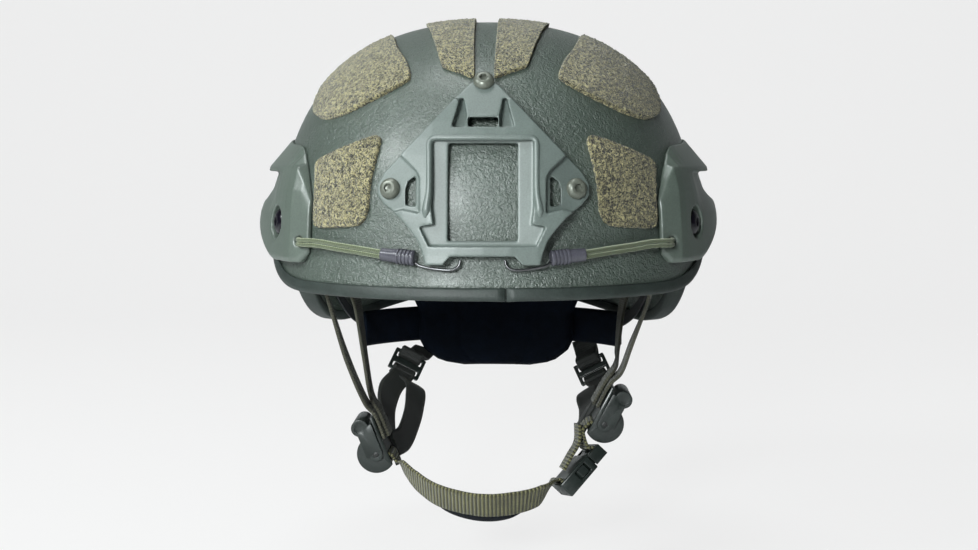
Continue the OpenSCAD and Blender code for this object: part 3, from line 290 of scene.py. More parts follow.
# Kinds of surface
def grained(name, colour, rough, grain_mm, depth_mm, strength=0.6, mottle=0.82, patch_mm=14, fine_mm=None,
            twist=0.0, **sockets):
    """Moulded or painted finish: lumps of grain_mm, a finer grain over them, soft patches of tone, and painted
    shade in the hollows of the lumps.
    """
    made, shader = blank(name, rough, **sockets)
    where = coords(shader, "Object")
    lumps = noise_at(where, grain_mm, detail=3, twist=twist)
    base = patchy(noise_at(where, patch_mm, detail=3), colour, mottle, 2 - mottle)
    normal = bump(lumps, depth_mm, strength)
    if fine_mm:
        normal = bump(noise_at(where, fine_mm, detail=2), depth_mm * 0.4, strength, Normal=normal)
    # Darker where the lumps are low: painted shade in their hollows
    finish(shader, tint(base, lumps, *HOLLOW_SHADE_SPAN, dark=0.8), normal)
    return made


def pile(name, colour, painted_gap_shade):
    """Loop pile: a tangle of short fibres, with painted shade in the gaps between them and in the hollows of
    its clumps.
    """
    made, shader = blank(name, 0.9, **{SHEEN: 0.3})
    where = coords(shader, "Object")
    fibres = noise_at(where, 1.4, detail=3, rough=0.65, twist=1.5)
    clumps = noise_at(where, 6, rough=0.6)
    # The gaps between fibres take the dark second colour and the low clumps are darker: painted shade
    base = tint(ramp(fibres, 0.44, 0.6, painted_gap_shade, colour), clumps, *HOLLOW_SHADE_SPAN, dark=0.75)
    finish(shader, base, bump(fibres, 1.0, 1.0, Normal=bump(clumps, 0.5, 0.4)))
    return made


def bands(uv, axis, period_mm):
    """Ridges square to a UV axis, which is in metres."""
    scale = math.pi / 10 / (period_mm * MM)
    node = grow(uv, "ShaderNodeTexWave", wave_type="BANDS", bands_direction=axis, Vector=uv, Scale=scale)
    return node.outputs["Fac"]


def webbing(name, colour, rib_mm, rib_depth, yarn_mm, rough=0.75, rib_groove_shade=0.5, sheen=0.15):
    """Woven tape on UVs in metres: ribs across its length, yarns along it, and a little fuzz, each with
    painted shade in its hollows.
    """
    made, shader = blank(name, rough, **{SHEEN: sheen})
    uv, where = coords(shader, "UV"), coords(shader, "Object")
    ribs, yarns = bands(uv, "X", rib_mm), bands(uv, "Y", yarn_mm)
    fuzz = noise_at(where, 1.2, rough=0.7)
    base = patchy(noise_at(where, 9, detail=3), colour, 0.75, 1.2)
    # Darker in the grooves between ribs and between yarns, and where the fuzz is low: painted shade
    base = tint(base, ribs, 0.05, 0.55, dark=rib_groove_shade)
    base = tint(base, yarns, 0.0, 0.5, dark=0.75)
    normal = bump(yarns, 0.15, 0.6, Normal=bump(ribs, rib_depth, 0.9))
    finish(shader, tint(base, fuzz, *HOLLOW_SHADE_SPAN, dark=0.7), bump(fuzz, 0.15, 0.5, Normal=normal))
    return made


def braid(name, colour, stripe):
    """Braided sleeve on UVs: diagonal yarns, with stripes of another colour along its length and painted shade
    in the grooves between the yarns.
    """
    made, shader = blank(name, 0.7, **{SHEEN: 0.2})
    uv = coords(shader, "UV")
    yarns = bands(uv, "DIAGONAL", 0.6)
    base = ramp(bands(uv, "Y", 3.1416), 0.45, 0.6, colour, stripe)
    # Darker in the grooves between the yarns: painted shade
    finish(shader, tint(base, yarns, 0.1, 0.7, dark=0.45), bump(yarns, 0.25, 0.9))
    return made


def cloth(name, colour, knit_mm, rough=0.85, sheen=0.2):
    """Knitted or brushed cover: a fine grid of loops, light between them, and soft uneven patches."""
    made, shader = blank(name, rough, **{SHEEN: sheen, SHINE: 0.15})
    where = coords(shader, "Object")
    loops = grow(where, "ShaderNodeTexVoronoi", Vector=where, Scale=METRE / knit_mm).outputs["Distance"]
    patches = noise_at(where, 11, rough=0.6)
    base = tint(patchy(patches, colour, 0.7, 1.35), loops, 0.1, 0.7, dark=1.5)
    finish(shader, base, bump(patches, 0.8, 0.3, Normal=bump(loops, 0.12, 0.7)))
    return made


def brushed(name, colour, rough=0.32):
    made, shader = blank(name, rough, Metallic=1.0)
    lines = noise_at(coords(shader, "Object"), 1.5, detail=3, rough=0.6, squeeze=(1, 1, 6))
    finish(shader, patchy(lines, colour, 0.7, 1), bump(lines, 0.05, 0.4))
    return made


# The materials
PAINT = grained("shell_paint", (0.066, 0.086, 0.071), rough=0.34, grain_mm=2.1, depth_mm=1.0, strength=1.0,
                mottle=0.92, patch_mm=30, fine_mm=0.8, twist=0.8,
                **{SHINE: 0.9, "Coat Weight": 0.3, "Coat Roughness": 0.3})
MOULDING = {"grain_mm": 0.8, "depth_mm": 0.06, "strength": 0.4, "mottle": 0.93, "patch_mm": 18, SHINE: 0.8}
SATIN = grained("satin_polymer", (0.095, 0.118, 0.1), rough=0.36, **MOULDING)
# Lighter copy of satin_polymer for the shroud: its extra lightness is painted light, where the shroud faces
# the lamps
SATIN_PAINTED_LIGHT = grained("satin_painted_light", (0.12, 0.147, 0.135), rough=0.42, **MOULDING)
RUBBER = grained("trim_rubber", (0.03, 0.039, 0.035), rough=0.5, grain_mm=1.1, depth_mm=0.3, strength=0.5,
                 mottle=0.85, patch_mm=9, **{SHINE: 0.4})
# The pile's second colour is painted shade for the gaps between its fibres
PILE = pile("loop_pile", (0.41, 0.365, 0.185), painted_gap_shade=(0.011, 0.01, 0.005))
BUTTON = grained("button_screws", (0.13, 0.14, 0.115), 0.33, grain_mm=0.6, depth_mm=0.06, strength=0.3,
                 Metallic=0.25)
DOME = grained("dome_screws", (0.005, 0.004, 0.008), 0.22, grain_mm=1.2, depth_mm=0.02, strength=0.2)
PLATED = brushed("plated_steel", (0.42, 0.41, 0.38))
PINS = brushed("dark_pins", (0.06, 0.06, 0.06), rough=0.4)
WIRE = brushed("steel_wire", (0.16, 0.16, 0.165), rough=0.3)
HOOK_TAPE = cloth("hook_tape", (0.012, 0.012, 0.014), knit_mm=1.2)
TABS = grained("painted_tabs", (0.04, 0.045, 0.04), 0.45, grain_mm=0.7, depth_mm=0.05)
DIAL = grained("dial_plastic", (0.012, 0.014, 0.017), 0.42, grain_mm=0.7, depth_mm=0.07)
GLOSS = grained("harness_plastic", (0.016, 0.021, 0.019), 0.28, grain_mm=0.9, depth_mm=0.05, strength=0.35,
                mottle=0.8, patch_mm=8)
FERRULE = grained("ferrule_plastic", (0.07, 0.068, 0.085), 0.26, grain_mm=0.8, depth_mm=0.06)
CORD = braid("shock_cord", (0.1, 0.125, 0.06), stripe=(0.42, 0.47, 0.3))
PAD = cloth("pad_fabric", (0.005, 0.006, 0.009), knit_mm=1.3, sheen=0.05)
NAPE = cloth("nape_fabric", (0.0007, 0.0024, 0.0065), knit_mm=1.1, rough=0.9, sheen=0.0)
OLIVE = webbing("olive_webbing", (0.075, 0.072, 0.045), rib_mm=1.6, rib_depth=0.2, yarn_mm=0.8)
# The chin strap's rib grooves are darkened strongly: painted shade
RIBBED = webbing("ribbed_webbing", (0.19, 0.18, 0.08), rib_mm=2.1, rib_depth=0.8, yarn_mm=0.9, rough=0.6,
                 rib_groove_shade=0.14)
BLACK = webbing("dark_webbing", (0.02, 0.022, 0.02), rib_mm=1.3, rib_depth=0.12, yarn_mm=0.7, rough=0.6,
                rib_groove_shade=0.7, sheen=0.05)
THREAD = webbing("thread", (0.16, 0.15, 0.09), rib_mm=0.5, rib_depth=0.1, yarn_mm=0.3)
SLOT_OF |= {SATIN_PAINTED_LIGHT: "satin_polymer", PINS: "plated_steel", RIBBED: "olive_webbing", THREAD: "olive_webbing"}


# Helpers for meshes
def add(name, data):
    made = bpy.data.objects.new(name, data)
    scene.collection.objects.link(made)
    return made


def shade_smooth(mesh):
    mesh.polygons.foreach_set("use_smooth", [True] * len(mesh.polygons))


def piece(name, points, faces, material, uvs=None):
    """A new mesh from points in millimetres; uvs hold one pair in metres for each corner of each face."""
    mesh = bpy.data.meshes.new(name)
    mesh.from_pydata([tuple(float(c) * MM for c in p) for p in points], [], faces)
    mesh.materials.append(material)
    if uvs is not None:
        layer = mesh.uv_layers.new(name="UVMap")
        layer.data.foreach_set("uv", [float(c) for uv in uvs for c in uv])
    shade_smooth(mesh)
    mesh.validate()
    mesh.update()
    made = add(name, mesh)
    return made


def outward_faces(made):
    """Turns the faces of a closed mesh to the outside."""
    work = bmesh.new()
    work.from_mesh(made.data)
    bmesh.ops.recalc_face_normals(work, faces=work.faces)
    work.to_mesh(made.data)
    work.free()
    return made


def walked(points):
    """Metres gone along the points, at each of them."""
    out = [0.0]
    for p, q in zip(points, points[1:]):
        out.append(out[-1] + np.linalg.norm(q - p) * MM)
    return out


def sweep(name, rings, material, closed=False, round_at=None):
    """Skin through rings of equal count, with open ends closed by fans; UVs run along and round.

    The round UV of each point of a ring is the distance round it, unless a list of them is given.
    """
    n, m = len(rings[0]), len(rings)
    points = [p for r in rings for p in r]
    lengths = walked([np.mean(r, 0) for r in rings])
    round_at = [*round_at, round_at[0]] if round_at else walked([*rings[0], rings[0][0]])
    faces, uvs = [], []
    for j in range(m if closed else m - 1):
        k = (j + 1) % m
        u0, u1 = lengths[j], lengths[j + 1] if j + 1 < m else lengths[j] + MM
        for i in range(n):
            q = (i + 1) % n
            faces.append((j * n + i, k * n + i, k * n + q, j * n + q))
            uvs += [(u0, round_at[i]), (u1, round_at[i]), (u1, round_at[i + 1]), (u0, round_at[i + 1])]
    if not closed:
        for j, flipped in ((0, False), (m - 1, True)):
            centre = len(points)
            points.append(np.mean(rings[j], 0))
            for i in range(n):
                corner = (j * n + i, j * n + (i + 1) % n, centre)
                faces.append(corner[::-1] if flipped else corner)
                uvs += [(lengths[j], round_at[i])] * 3
    return outward_faces(piece(name, points, faces, material, uvs))


def grid_slab(name, low, high, material):
    """Closed solid between two grids of points of equal size."""
    rows, cols = len(low), len(low[0])
    n = rows * cols
    points = [p for r in low for p in r] + [p for r in high for p in r]
    faces = []
    for i in range(rows - 1):
        for j in range(cols - 1):
            a = i * cols + j
            faces += [(a, a + cols, a + cols + 1, a + 1), (n + a, n + a + 1, n + a + cols + 1, n + a + cols)]
    grid = np.arange(n).reshape(rows, cols)
    edge = [int(a) for a in (*grid[0], *grid[1:, -1], *grid[-1, -2::-1], *grid[-2:0:-1, 0])]
    for k, a in enumerate(edge):
        b = edge[(k + 1) % len(edge)]
        faces.append((a, b, n + b, n + a))
    return outward_faces(piece(name, points, faces, material))


def direction_at(path, i):
    return unit(path[min(len(path) - 1, i + 1)] - path[max(0, i - 1)])


def frame_along(path, wide, i):
    """Directions across the path and out of its face."""
    side = unit(wide[i])
    return side, unit(np.cross(side, direction_at(path, i)))


def tape(name, points, wide, w, t, material, steps=8, curl=0.0, frayed=0.0):
    """Webbing of width w and thickness t along the points, with rounded edges."""
    path, turned = smooth(points, steps), refine(wide, steps)
    half, cells, shoulder = w / 2, 10, t * 0.3
    top = [-half + shoulder + (w - 2 * shoulder) * i / cells for i in range(cells + 1)]
    section = [*((a, t / 2) for a in top), (half, 0.0), *((a, -t / 2) for a in reversed(top)), (-half, 0.0)]
    rings = []
    for i in range(len(path)):
        side, face = frame_along(path, turned, i)
        wobble = 1 + frayed * noise.noise(Vector((i * 0.31, w, t)))
        rings.append([path[i] + side * a * wobble + face * (b + curl * (a / half) ** 2) for a, b in section])
    return sweep(name, rings, material, round_at=[a * MM for a, b in section])


def tube(name, points, r, material, sides=14, steps=8):
    path = smooth(points, steps)
    rings = []
    for i in range(len(path)):
        d = direction_at(path, i)
        side = unit(np.cross(d, [0.0, 0.0, 1.0]))
        rings.append(circle(path[i], side, np.cross(side, d), r, sides))
    return sweep(name, rings, material)


STITCH_PITCH, STITCH_LEN, STITCH_R, STITCH_FLAT, STITCH_SIDES = 2.4, 1.5, 0.16, 0.8, 5
STITCH_SHAPE = ((-0.5, 0.25), (-0.25, 0.9), (0.25, 0.9), (0.5, 0.25))


def stitch_faces(base):
    """Faces of one stitch whose rings of points start at base."""
    n, rings = STITCH_SIDES, len(STITCH_SHAPE)
    faces = [tuple(base + a for a in reversed(range(n))), tuple(base + (rings - 1) * n + a for a in range(n))]
    for low in range(base, base + (rings - 1) * n, n):
        for a in range(n):
            b = (a + 1) % n
            faces.append((low + a, low + b, low + n + b, low + n + a))
    return faces


def stitches(name, lines):
    """Rows of stitches: each line is (points, normals) along the row."""
    points, faces = [], []
    for row, normals in lines:
        gone, nxt = 0.0, STITCH_PITCH / 2
        for i in range(1, len(row)):
            step = row[i] - row[i - 1]
            size = np.linalg.norm(step)
            d, up = step / size, unit(normals[i])
            side = unit(np.cross(d, up))
            while gone + size >= nxt:
                middle = row[i - 1] + d * (nxt - gone)
                faces += stitch_faces(len(points))
                for along, thick in STITCH_SHAPE:
                    spot = middle + d * along * STITCH_LEN
                    points += circle(spot, side, up * STITCH_FLAT, thick * STITCH_R, STITCH_SIDES)
                nxt += STITCH_PITCH
            gone += size
    return outward_faces(piece(name, points, faces, THREAD))


SHARP_ANGLE = 32


def dress(node, material, bevel_mm):
    """Material, softened edges and smooth shading on a CAD node that stays."""
    o = nodes[node]
    o.data.materials.clear()
    o.data.materials.append(material)
    weld = o.modifiers.new("weld", "WELD")
    weld.merge_threshold = 0.002 * MM
    if bevel_mm:
        soft = o.modifiers.new("bevel", "BEVEL")
        soft.width = bevel_mm * MM
        soft.segments = 2
        soft.limit_method = "ANGLE"
        soft.angle_limit = math.radians(SHARP_ANGLE)
    shade_smooth(o.data)
    o.data.set_sharp_from_angle(angle=math.radians(SHARP_ANGLE + 8))
    return o


def moulded(o, cell_mm, passes):
    """Rounds every edge of a CAD node as a moulding does: fine cells, then smoothing."""
    cells = o.modifiers.new("cells", "REMESH")
    cells.mode, cells.voxel_size, cells.use_smooth_shade = "VOXEL", cell_mm * MM, True
    soft = o.modifiers.new("soft", "SMOOTH")
    soft.factor, soft.iterations = 0.5, passes


# Camera, solved from the photograph; its place is in metres
LENS_MM, SENSOR_MM, CLIP = 49.14, 36.0, 0.01
YAW, PITCH = 1.2, -4.8
view = bpy.data.cameras.new("camera")
view.lens, view.sensor_width, view.clip_start = LENS_MM, SENSOR_MM, CLIP
camera = add("camera", view)
scene.camera = camera
camera.location = (0.0157, -0.7498, 0.062)
aim = Vector((-sin(YAW) * cos(PITCH), cos(YAW) * cos(PITCH), sin(PITCH)))
camera.rotation_euler = aim.to_track_quat("-Z", "Y").to_euler()


# Light and background: both the world and the floor look brighter to the camera than they shine
PALE, GLOW, GLOW_SHARE = 0.865, 0.93, 0.85
WORLD_LIGHT = 0.03
FLOOR_Z, FLOOR_SIDE, FLOOR_FRONT = -0.165, 30, -30.0
BEND_Y, BEND_R, FLOOR_TOP = 1.2, 0.8, 3.0
FLOOR_LOW, FLOOR_HIGH = (0.79, 0.79, 0.79), (0.81, 0.81, 0.81)


def lamp(name, place, size, power, colour):
    """A round lamp, aimed at the middle of the frame; place and size are in metres."""
    data = bpy.data.lights.new(name, "AREA")
    data.shape, data.size, data.energy, data.color = "DISK", size, power, colour
    made = add(name, data)
    made.location = place
    made.rotation_euler = (-Vector(place)).to_track_quat("-Z", "Y").to_euler()


def mix_shaders(one, other):
    both = grow(one, "ShaderNodeMixShader")
    one.id_data.links.new(one.outputs[0], both.inputs[1])
    one.id_data.links.new(other.outputs[0], both.inputs[2])
    return both


def to_camera(for_light, for_camera, output):
    """Shows for_camera to the camera's own rays and for_light to all others."""
    either = mix_shaders(for_light, for_camera)
    links = either.id_data.links
    links.new(grow(either, "ShaderNodeLightPath").outputs["Is Camera Ray"], either.inputs[0])
    links.new(either.outputs[0], output.inputs[0])


def make_world():
    world = bpy.data.worlds.new("world")
    scene.world = world
    world.use_nodes = True
    tree = world.node_tree
    tree.nodes.clear()
    seen = grow(tree, "ShaderNodeBackground", Color=(PALE, PALE, PALE, 1), Strength=1.0)
    lit = grow(tree, "ShaderNodeBackground", Color=(0.9, 0.96, 1, 1), Strength=WORLD_LIGHT)
    to_camera(lit, seen, grow(tree, "ShaderNodeOutputWorld"))


def floor_paint():
    made, shader = blank("floor_paint", 0.9, **{SHINE: 0.1})
    tree = made.node_tree
    grain = noise_at(coords(shader, "Object"), 40, detail=3)
    tree.links.new(ramp(grain, 0.2, 0.8, FLOOR_LOW, FLOOR_HIGH), shader.inputs["Base Color"])
    glow = grow(shader, "ShaderNodeEmission", Color=(GLOW, GLOW, GLOW, 1), Strength=1.0)
    part_glow = mix_shaders(shader, glow)
    part_glow.inputs[0].default_value = GLOW_SHARE
    to_camera(shader, part_glow, tree.nodes["Material Output"])
    return made


def make_floor():
    """A floor that bends up into a wall far behind the helmet, in metres."""
    bend = [(BEND_Y + BEND_R * sin(a), BEND_R - BEND_R * cos(a)) for a in range(10, 91, 10)]
    side_view = [(FLOOR_FRONT, 0.0), (BEND_Y, 0.0), *bend, (BEND_Y + BEND_R, FLOOR_TOP)]
    points = [(x, y, FLOOR_Z + z) for y, z in side_view for x in (-FLOOR_SIDE, FLOOR_SIDE)]
    faces = [(2 * i, 2 * i + 1, 2 * i + 3, 2 * i + 2) for i in range(len(side_view) - 1)]
    mesh = bpy.data.meshes.new("floor")
    mesh.from_pydata(points, [], faces)
    shade_smooth(mesh)
    mesh.materials.append(floor_paint())
    floor = add("floor", mesh)


# Shell and trim
def make_shell():
    cols, rows = 180, 44
    rings = []
    for off, order in ((0, range(1, rows + 1)), (-WALL, range(rows, 0, -1))):
        for j in order:
            turns = [i * 360 / cols for i in range(cols)]
            rings.append([on_shell(t, mix(rise_at(rim_z(t), off), 90, 1 - j / rows), off) for t in turns])
    points = [on_shell(0, 90, 0), *(p for r in rings for p in r), on_shell(0, 90, -WALL)]
    last = len(points) - 1
    faces = [(0, 1 + i, 1 + (i + 1) % cols) for i in range(cols)]
    for j in range(len(rings) - 1):
        for i in range(cols):
            a, b = 1 + j * cols + i, 1 + j * cols + (i + 1) % cols
            faces.append((a, a + cols, b + cols, b))
    start = last - cols
    faces += [(last, start + (i + 1) % cols, start + i) for i in range(cols)]
    made = outward_faces(piece("shell_skin", points, faces, PAINT))
    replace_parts(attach(made, "helmet"), "shell")


def make_trim():
    """Rubber channel round the rim, cut and butted a little to the left of the front."""
    near, out, top, low = 0.3, 1.5, 4.5, -1.6
    outer = [(near, top), (0.8, top + 0.1), (1.3, top - 0.2), (out, top - 0.8), (out + 0.1, 1), (out, -0.6),
             (1.0, -1.3), (0, low + 0.05)]
    inner = [(-WALL - off, dz) for off, dz in reversed(outer)]
    section = [*outer, (-WALL / 2, low), *inner, (-WALL - near, -near), (near, -near)]
    joint, slit, cols = 4.4, 0.12, 220
    rings = []
    for k in range(cols + 1):
        t = joint + slit + (360 - 2 * slit) * k / cols
        t = t - 360 if t > 180 else t
        lift = 0.25 * max(0, 1 - min(k, cols - k) / 2)
        wave = 0.12 * noise.noise(Vector((k * 0.23, 0, 0)))
        shift = [wave if dz > 2 else -lift if dz < 0 else 0 for off, dz in section]
        rings.append([at_level(t, rim_z(t) + dz + s, off) for (off, dz), s in zip(section, shift)])
    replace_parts(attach(sweep("rim_trim", rings, RUBBER), "helmet"), "edge_trim")


# Loop panels: crown and upper edges are (x, y) from above, the others (turn, rise) on the shell
CROWN_IN = [(4, -109), (4.5, -96), (5.1, -66), (5.2, -24)]
CROWN_OUT = [(20.9, -100.4), (23.9, -87.5), (28.3, -64), (34, -24)]
UPPER_IN = [(33.8, -103.2), (37.6, -90), (44, -70), (49, -36)]
UPPER_OUT = [(85.5, -72), (88.2, -61), (88.6, -48), (86, -30)]
UPPER_BOW = (5.2, -8.6)
LOWER_IN = [(24.4, 4.6), (23.6, 8), (23.4, 13), (22.6, 20), (21.6, 25.4)]
LOWER_OUT = [(40, 3.8), (40.2, 7), (40.4, 10.5), (41.2, 14.5), (42.6, 18)]
REAR_IN = [(152, 8), (151, 20), (152, 34)]
REAR_OUT = [(208, 8), (209, 20), (208, 34)]
LOOP_T, LOOP_NEAR, LOOP_BACK = 2.2, 0.16, 0.3
ROLL, RAGGED, RAG_SEED = 0.8, 0.45, 9.7
TUFT, TUFT_SEED = 0.6, 3.1


def loop_panel(name, node, inner, outer, place, left, step=26, cols=84, corner=0.05, bow=(0, 0)):
    """Fuzzy panel of loop pile with a ragged, softly rolled edge, laid on the shell.

    bow moves the middle of the front edge, and less and less of the rows behind it.
    """
    a, b = smooth([(*p, 0) for p in inner], step), smooth([(*p, 0) for p in outer], step)
    rows = len(a) - 1
    run = np.linalg.norm(place(*a[-1][:2], 0) - place(*a[0][:2], 0))
    sizes = [np.linalg.norm(place(*q[:2], 0) - place(*p[:2], 0)) for p, q in zip(a, b)]

    def lumps(u, v, size, often, seed):
        return noise.noise(Vector((u * size * often, v * run * often, seed)))

    def spot(i, j, high):
        u, v, size = j / cols, i / rows, sizes[i]
        k = min(1, min(u * size, (1 - u) * size, v * run, (1 - v) * run) / ROLL)
        pull = RAGGED * (1 - k) * (1 + lumps(u, v, size, 0.9, RAG_SEED))
        cut = corner * abs((2 * u - 1) * (2 * v - 1)) ** 7
        p = mix(a[i], b[i], mix(u, 0.5, 2 * pull / size + cut))
        p = mix(p, mix(a[rows // 2], b[rows // 2], u), 2 * pull / run + cut)
        moved = 4 * u * (1 - u) * (1 - v) ** 2
        off = LOOP_NEAR
        if high:
            rolled = math.sqrt(1 - (1 - k) ** 2)
            off = LOOP_BACK + (LOOP_T - 0.55) * rolled + TUFT * lumps(u, v, size, 0.8, TUFT_SEED) * k
        q = place(p[0] + bow[0] * moved, p[1] + bow[1] * moved, off)
        return q if left else flip(q)

    def sheet(high):
        return [[spot(i, j, high) for j in range(cols + 1)] for i in range(rows + 1)]

    made = grid_slab(name, sheet(False), sheet(True), PILE)
    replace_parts(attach(made, "helmet"), node)


def make_loops():
    for left, word in SIDES:
        loop_panel(f"crown_panel_{word}", f"loop_crown_{word}", CROWN_IN, CROWN_OUT, from_above, left)
        loop_panel(f"upper_panel_{word}", f"loop_upper_{word}", UPPER_IN, UPPER_OUT, from_above, left,
                   bow=UPPER_BOW)
        loop_panel(f"lower_panel_{word}", f"loop_lower_{word}", LOWER_IN, LOWER_OUT, on_shell, left,
                   step=20, cols=60, corner=0.13)
    loop_panel("rear_panel", "loop_rear", REAR_IN, REAR_OUT, on_shell, left=True, step=40, cols=180)


# Cords on the forehead, with their ferrules and wire hooks
CORD_TURN, CORD_Z, STRAND_D, STRAND_OFF, STRAND_GAP = 43.3, 23.5, 2, 3.4, 0.3
FERRULE_TURN, FERRULE_Z, FERRULE_D, FERRULE_LEN = 14.6, 18.7, 7.4, 9
FERRULE_MID = at_level(FERRULE_TURN, FERRULE_Z, FERRULE_D / 2 + 0.9)
FERRULE_FROM = at_level(FERRULE_TURN + 4, FERRULE_Z + 0.9, 4)
FERRULE_DIR = unit(at_level(FERRULE_TURN - 4, FERRULE_Z - 0.9, 4) - FERRULE_FROM)
FERRULE_UP = np.cross(FERRULE_DIR, unit(np.cross([0, 0, 1], FERRULE_DIR)))
WIRE_R = 0.7


def strand_path(dz):
    """From the hole in the rail, over its edge and along the brow, into the ferrule."""
    z = CORD_Z + dz
    return [at_level(CORD_TURN + 0.3, z, 3.9), at_level(CORD_TURN, z, 5.2), at_level(CORD_TURN - 1, z, 6.9),
            at_level(CORD_TURN - 2.4, z, 7.4), at_level(38.4, z + 0.1, 6.5), at_level(35.5, z - 0.1, 5.1),
            at_level(31, 22.3 + dz, STRAND_OFF + 0.4), at_level(25.6, 21.2 + dz, STRAND_OFF + 0.2),
            *(FERRULE_MID + x * FERRULE_DIR + dz * FERRULE_UP for x in (-13.6, -8))]


def make_cords():
    start = FERRULE_MID + FERRULE_DIR * (FERRULE_LEN / 2 + 0.05) - [0, 0, 2.1]
    wire = [start, start + FERRULE_DIR * 3 - [0, 0, 1.3], at_level(9, 13.4, 3.8), at_level(6.6, 13, 3.7),
            at_level(5.3, 13.4, 3.5), at_level(4.5, 15, 3.2), at_level(4.2, 17.6, 3)]
    for left, word in SIDES:
        middle = sided(strand_path(0), left)
        for s, which in ((-1, "low"), (1, "high")):
            strand = sided(strand_path(s * (STRAND_D + STRAND_GAP) / 2), left)
            made = tube(f"cord_{which}_{word}", strand, STRAND_D / 2, CORD)
            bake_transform(made)
            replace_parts(made, f"bungee_{word}")
        made = tube(f"wire_{word}", sided(wire, left), WIRE_R, WIRE, sides=16, steps=10)
        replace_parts(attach(made, f"hook_{word}"), f"hook_{word}")


# Lip round the shroud's channel
BODY_T, CHANNEL_HALF, CHANNEL_TOP = 8.5, 23.5, 72.5
LIP_R, LIP_END, LIP_SINK, LIP_CORNER, LIP_FLARE = 1.4, 43, 0.45, 3.0, 0.55


def on_shroud(x, z, off):
    """Point of the shroud's curved face beside x, found in a few steps."""
    turn = 0.0
    for _ in range(6):
        p = at_level(turn, z, off)
        turn += math.degrees((x - p[0]) / math.hypot(p[0], p[1]))
    return p


def make_lip():
    """A bead up both sides of the channel and over its top, thicker towards its two feet."""
    out, top = CHANNEL_HALF + LIP_R * 0.8, CHANNEL_TOP + LIP_R * 0.8
    cut = LIP_CORNER * 0.3
    half = [(out + 1.6, LIP_END - 6), (out + 0.9, LIP_END), (out, LIP_END + 7), (out, 66),
            (out, top - LIP_CORNER), (out - cut, top - cut), (out - LIP_CORNER, top), (out - 9, top)]
    flat = [*half, (0, top), *((-x, z) for x, z in reversed(half))]
    path = smooth([on_shroud(x, z, BODY_T - LIP_SINK) for x, z in flat], 8)
    rings = []
    for i, p in enumerate(path):
        side, up = frame_along(path, [outward(0, 60)] * len(path), i)
        ends = min(i, len(path) - 1 - i) / 16
        r = LIP_R * (1 + LIP_FLARE * max(0, 1 - ends)) * min(1, 0.25 + ends * 3)
        rings.append(circle(p, side * 0.95, up, r, 16))
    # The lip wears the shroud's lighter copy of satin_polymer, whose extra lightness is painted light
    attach(sweep("shroud_lip", rings, SATIN_PAINTED_LIGHT), "helmet")


# Pads
HOOK_NEAR, HOOK_T, PAD_T = 0.6, 1.8, 15
LINER_OFF = WALL + HOOK_NEAR + HOOK_T + GAP
WELT_CELLS = 24


def bulge(u, v):
    """From 0 at the edges of a pad to 1 over most of it."""
    return (max(0, 1 - abs(2 * u - 1) ** 4) * max(0, 1 - abs(2 * v - 1) ** 4)) ** 0.3


def rounded_pad(name, place, material, cols=44, rows=36, seam=0.75):
    """Stuffed piece between place(u, v, False) and place(u, v, True), with a sewn welt round its side."""

    def sheet(deep):
        return [[place(j / cols, i / rows, deep) for j in range(cols + 1)] for i in range(rows + 1)]

    made = grid_slab(name, sheet(True), sheet(False), material)
    rim = []
    for k in range(4 * WELT_CELLS):
        side, x = divmod(k / WELT_CELLS, 1)
        u, v = ((x, 0), (1, x), (1 - x, 1), (0, 1 - x))[int(side)]
        rim.append(mix(place(u, v, True), place(u, v, False), 0.45))
    rings = []
    for i, p in enumerate(rim):
        d = unit(rim[(i + 1) % len(rim)] - rim[i - 1])
        side = unit(np.cross(d, unit(p + [0.1, 0.2, 0.3])))
        rings.append(circle(p, side, np.cross(side, d), seam, 6))
    welt = sweep(name + "_welt", rings, material, closed=True)
    welt.parent = made
    return made


def liner(name, node, t0, t1, s0, s1, seed):
    """Pad from turn t0 to t1 and rise s0 to s1, held by its hook square."""

    def place(u, v, deep):
        b = bulge(u, v)
        pull = 0.045 * (1 - b) * (0.4 if deep else 1)
        uu, vv = 0.5 + (u - 0.5) * (1 - 2 * pull), 0.5 + (v - 0.5) * (1 - 2 * pull)
        dent = 0.5 * noise.noise(Vector((u * 5, v * 5, seed))) * b if deep else 0
        off = PAD_T * (0.3 + 0.7 * b) + dent if deep else 1.6 * (1 - b)
        return on_shell(mix(t0, t1, uu), mix(s0, s1, vv), -LINER_OFF - off)

    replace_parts(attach(rounded_pad(name, place, PAD), "helmet"), node)


def crown_pad():
    turns = 72
    top, deep = -LINER_OFF, -LINER_OFF - PAD_T
    profile = [(84, top), (74, top), (65, top), (61.5, top - 2), (60, top - 5), (60.5, top - 9),
               (63, deep + 2), (67, deep + 0.6), (75, deep), (84, deep)]
    fine = smooth([(rise, off, 0) for rise, off in profile], 4)
    rings = [[on_shell(i * 360 / turns, p[0], p[1]) for i in range(turns)] for p in fine]
    made = sweep("crown_cushion", rings, PAD)
    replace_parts(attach(made, "helmet"), "pad_crown")


def make_pads():
    liner("front_cushion", "pad_front", -24, 24, 8, 33, 1.0)
    liner("rear_cushion", "pad_rear", 154, 206, -6, 28, 2.0)
    for which, t0, t1, seed in (("temple", 34, 68, 3.0), ("side", 98, 136, 5.0)):
        liner(f"{which}_cushion_left", f"pad_{which}_left", t0, t1, 16, 46, seed)
        liner(f"{which}_cushion_right", f"pad_{which}_right", -t1, -t0, 16, 46, seed + 1)
    crown_pad()


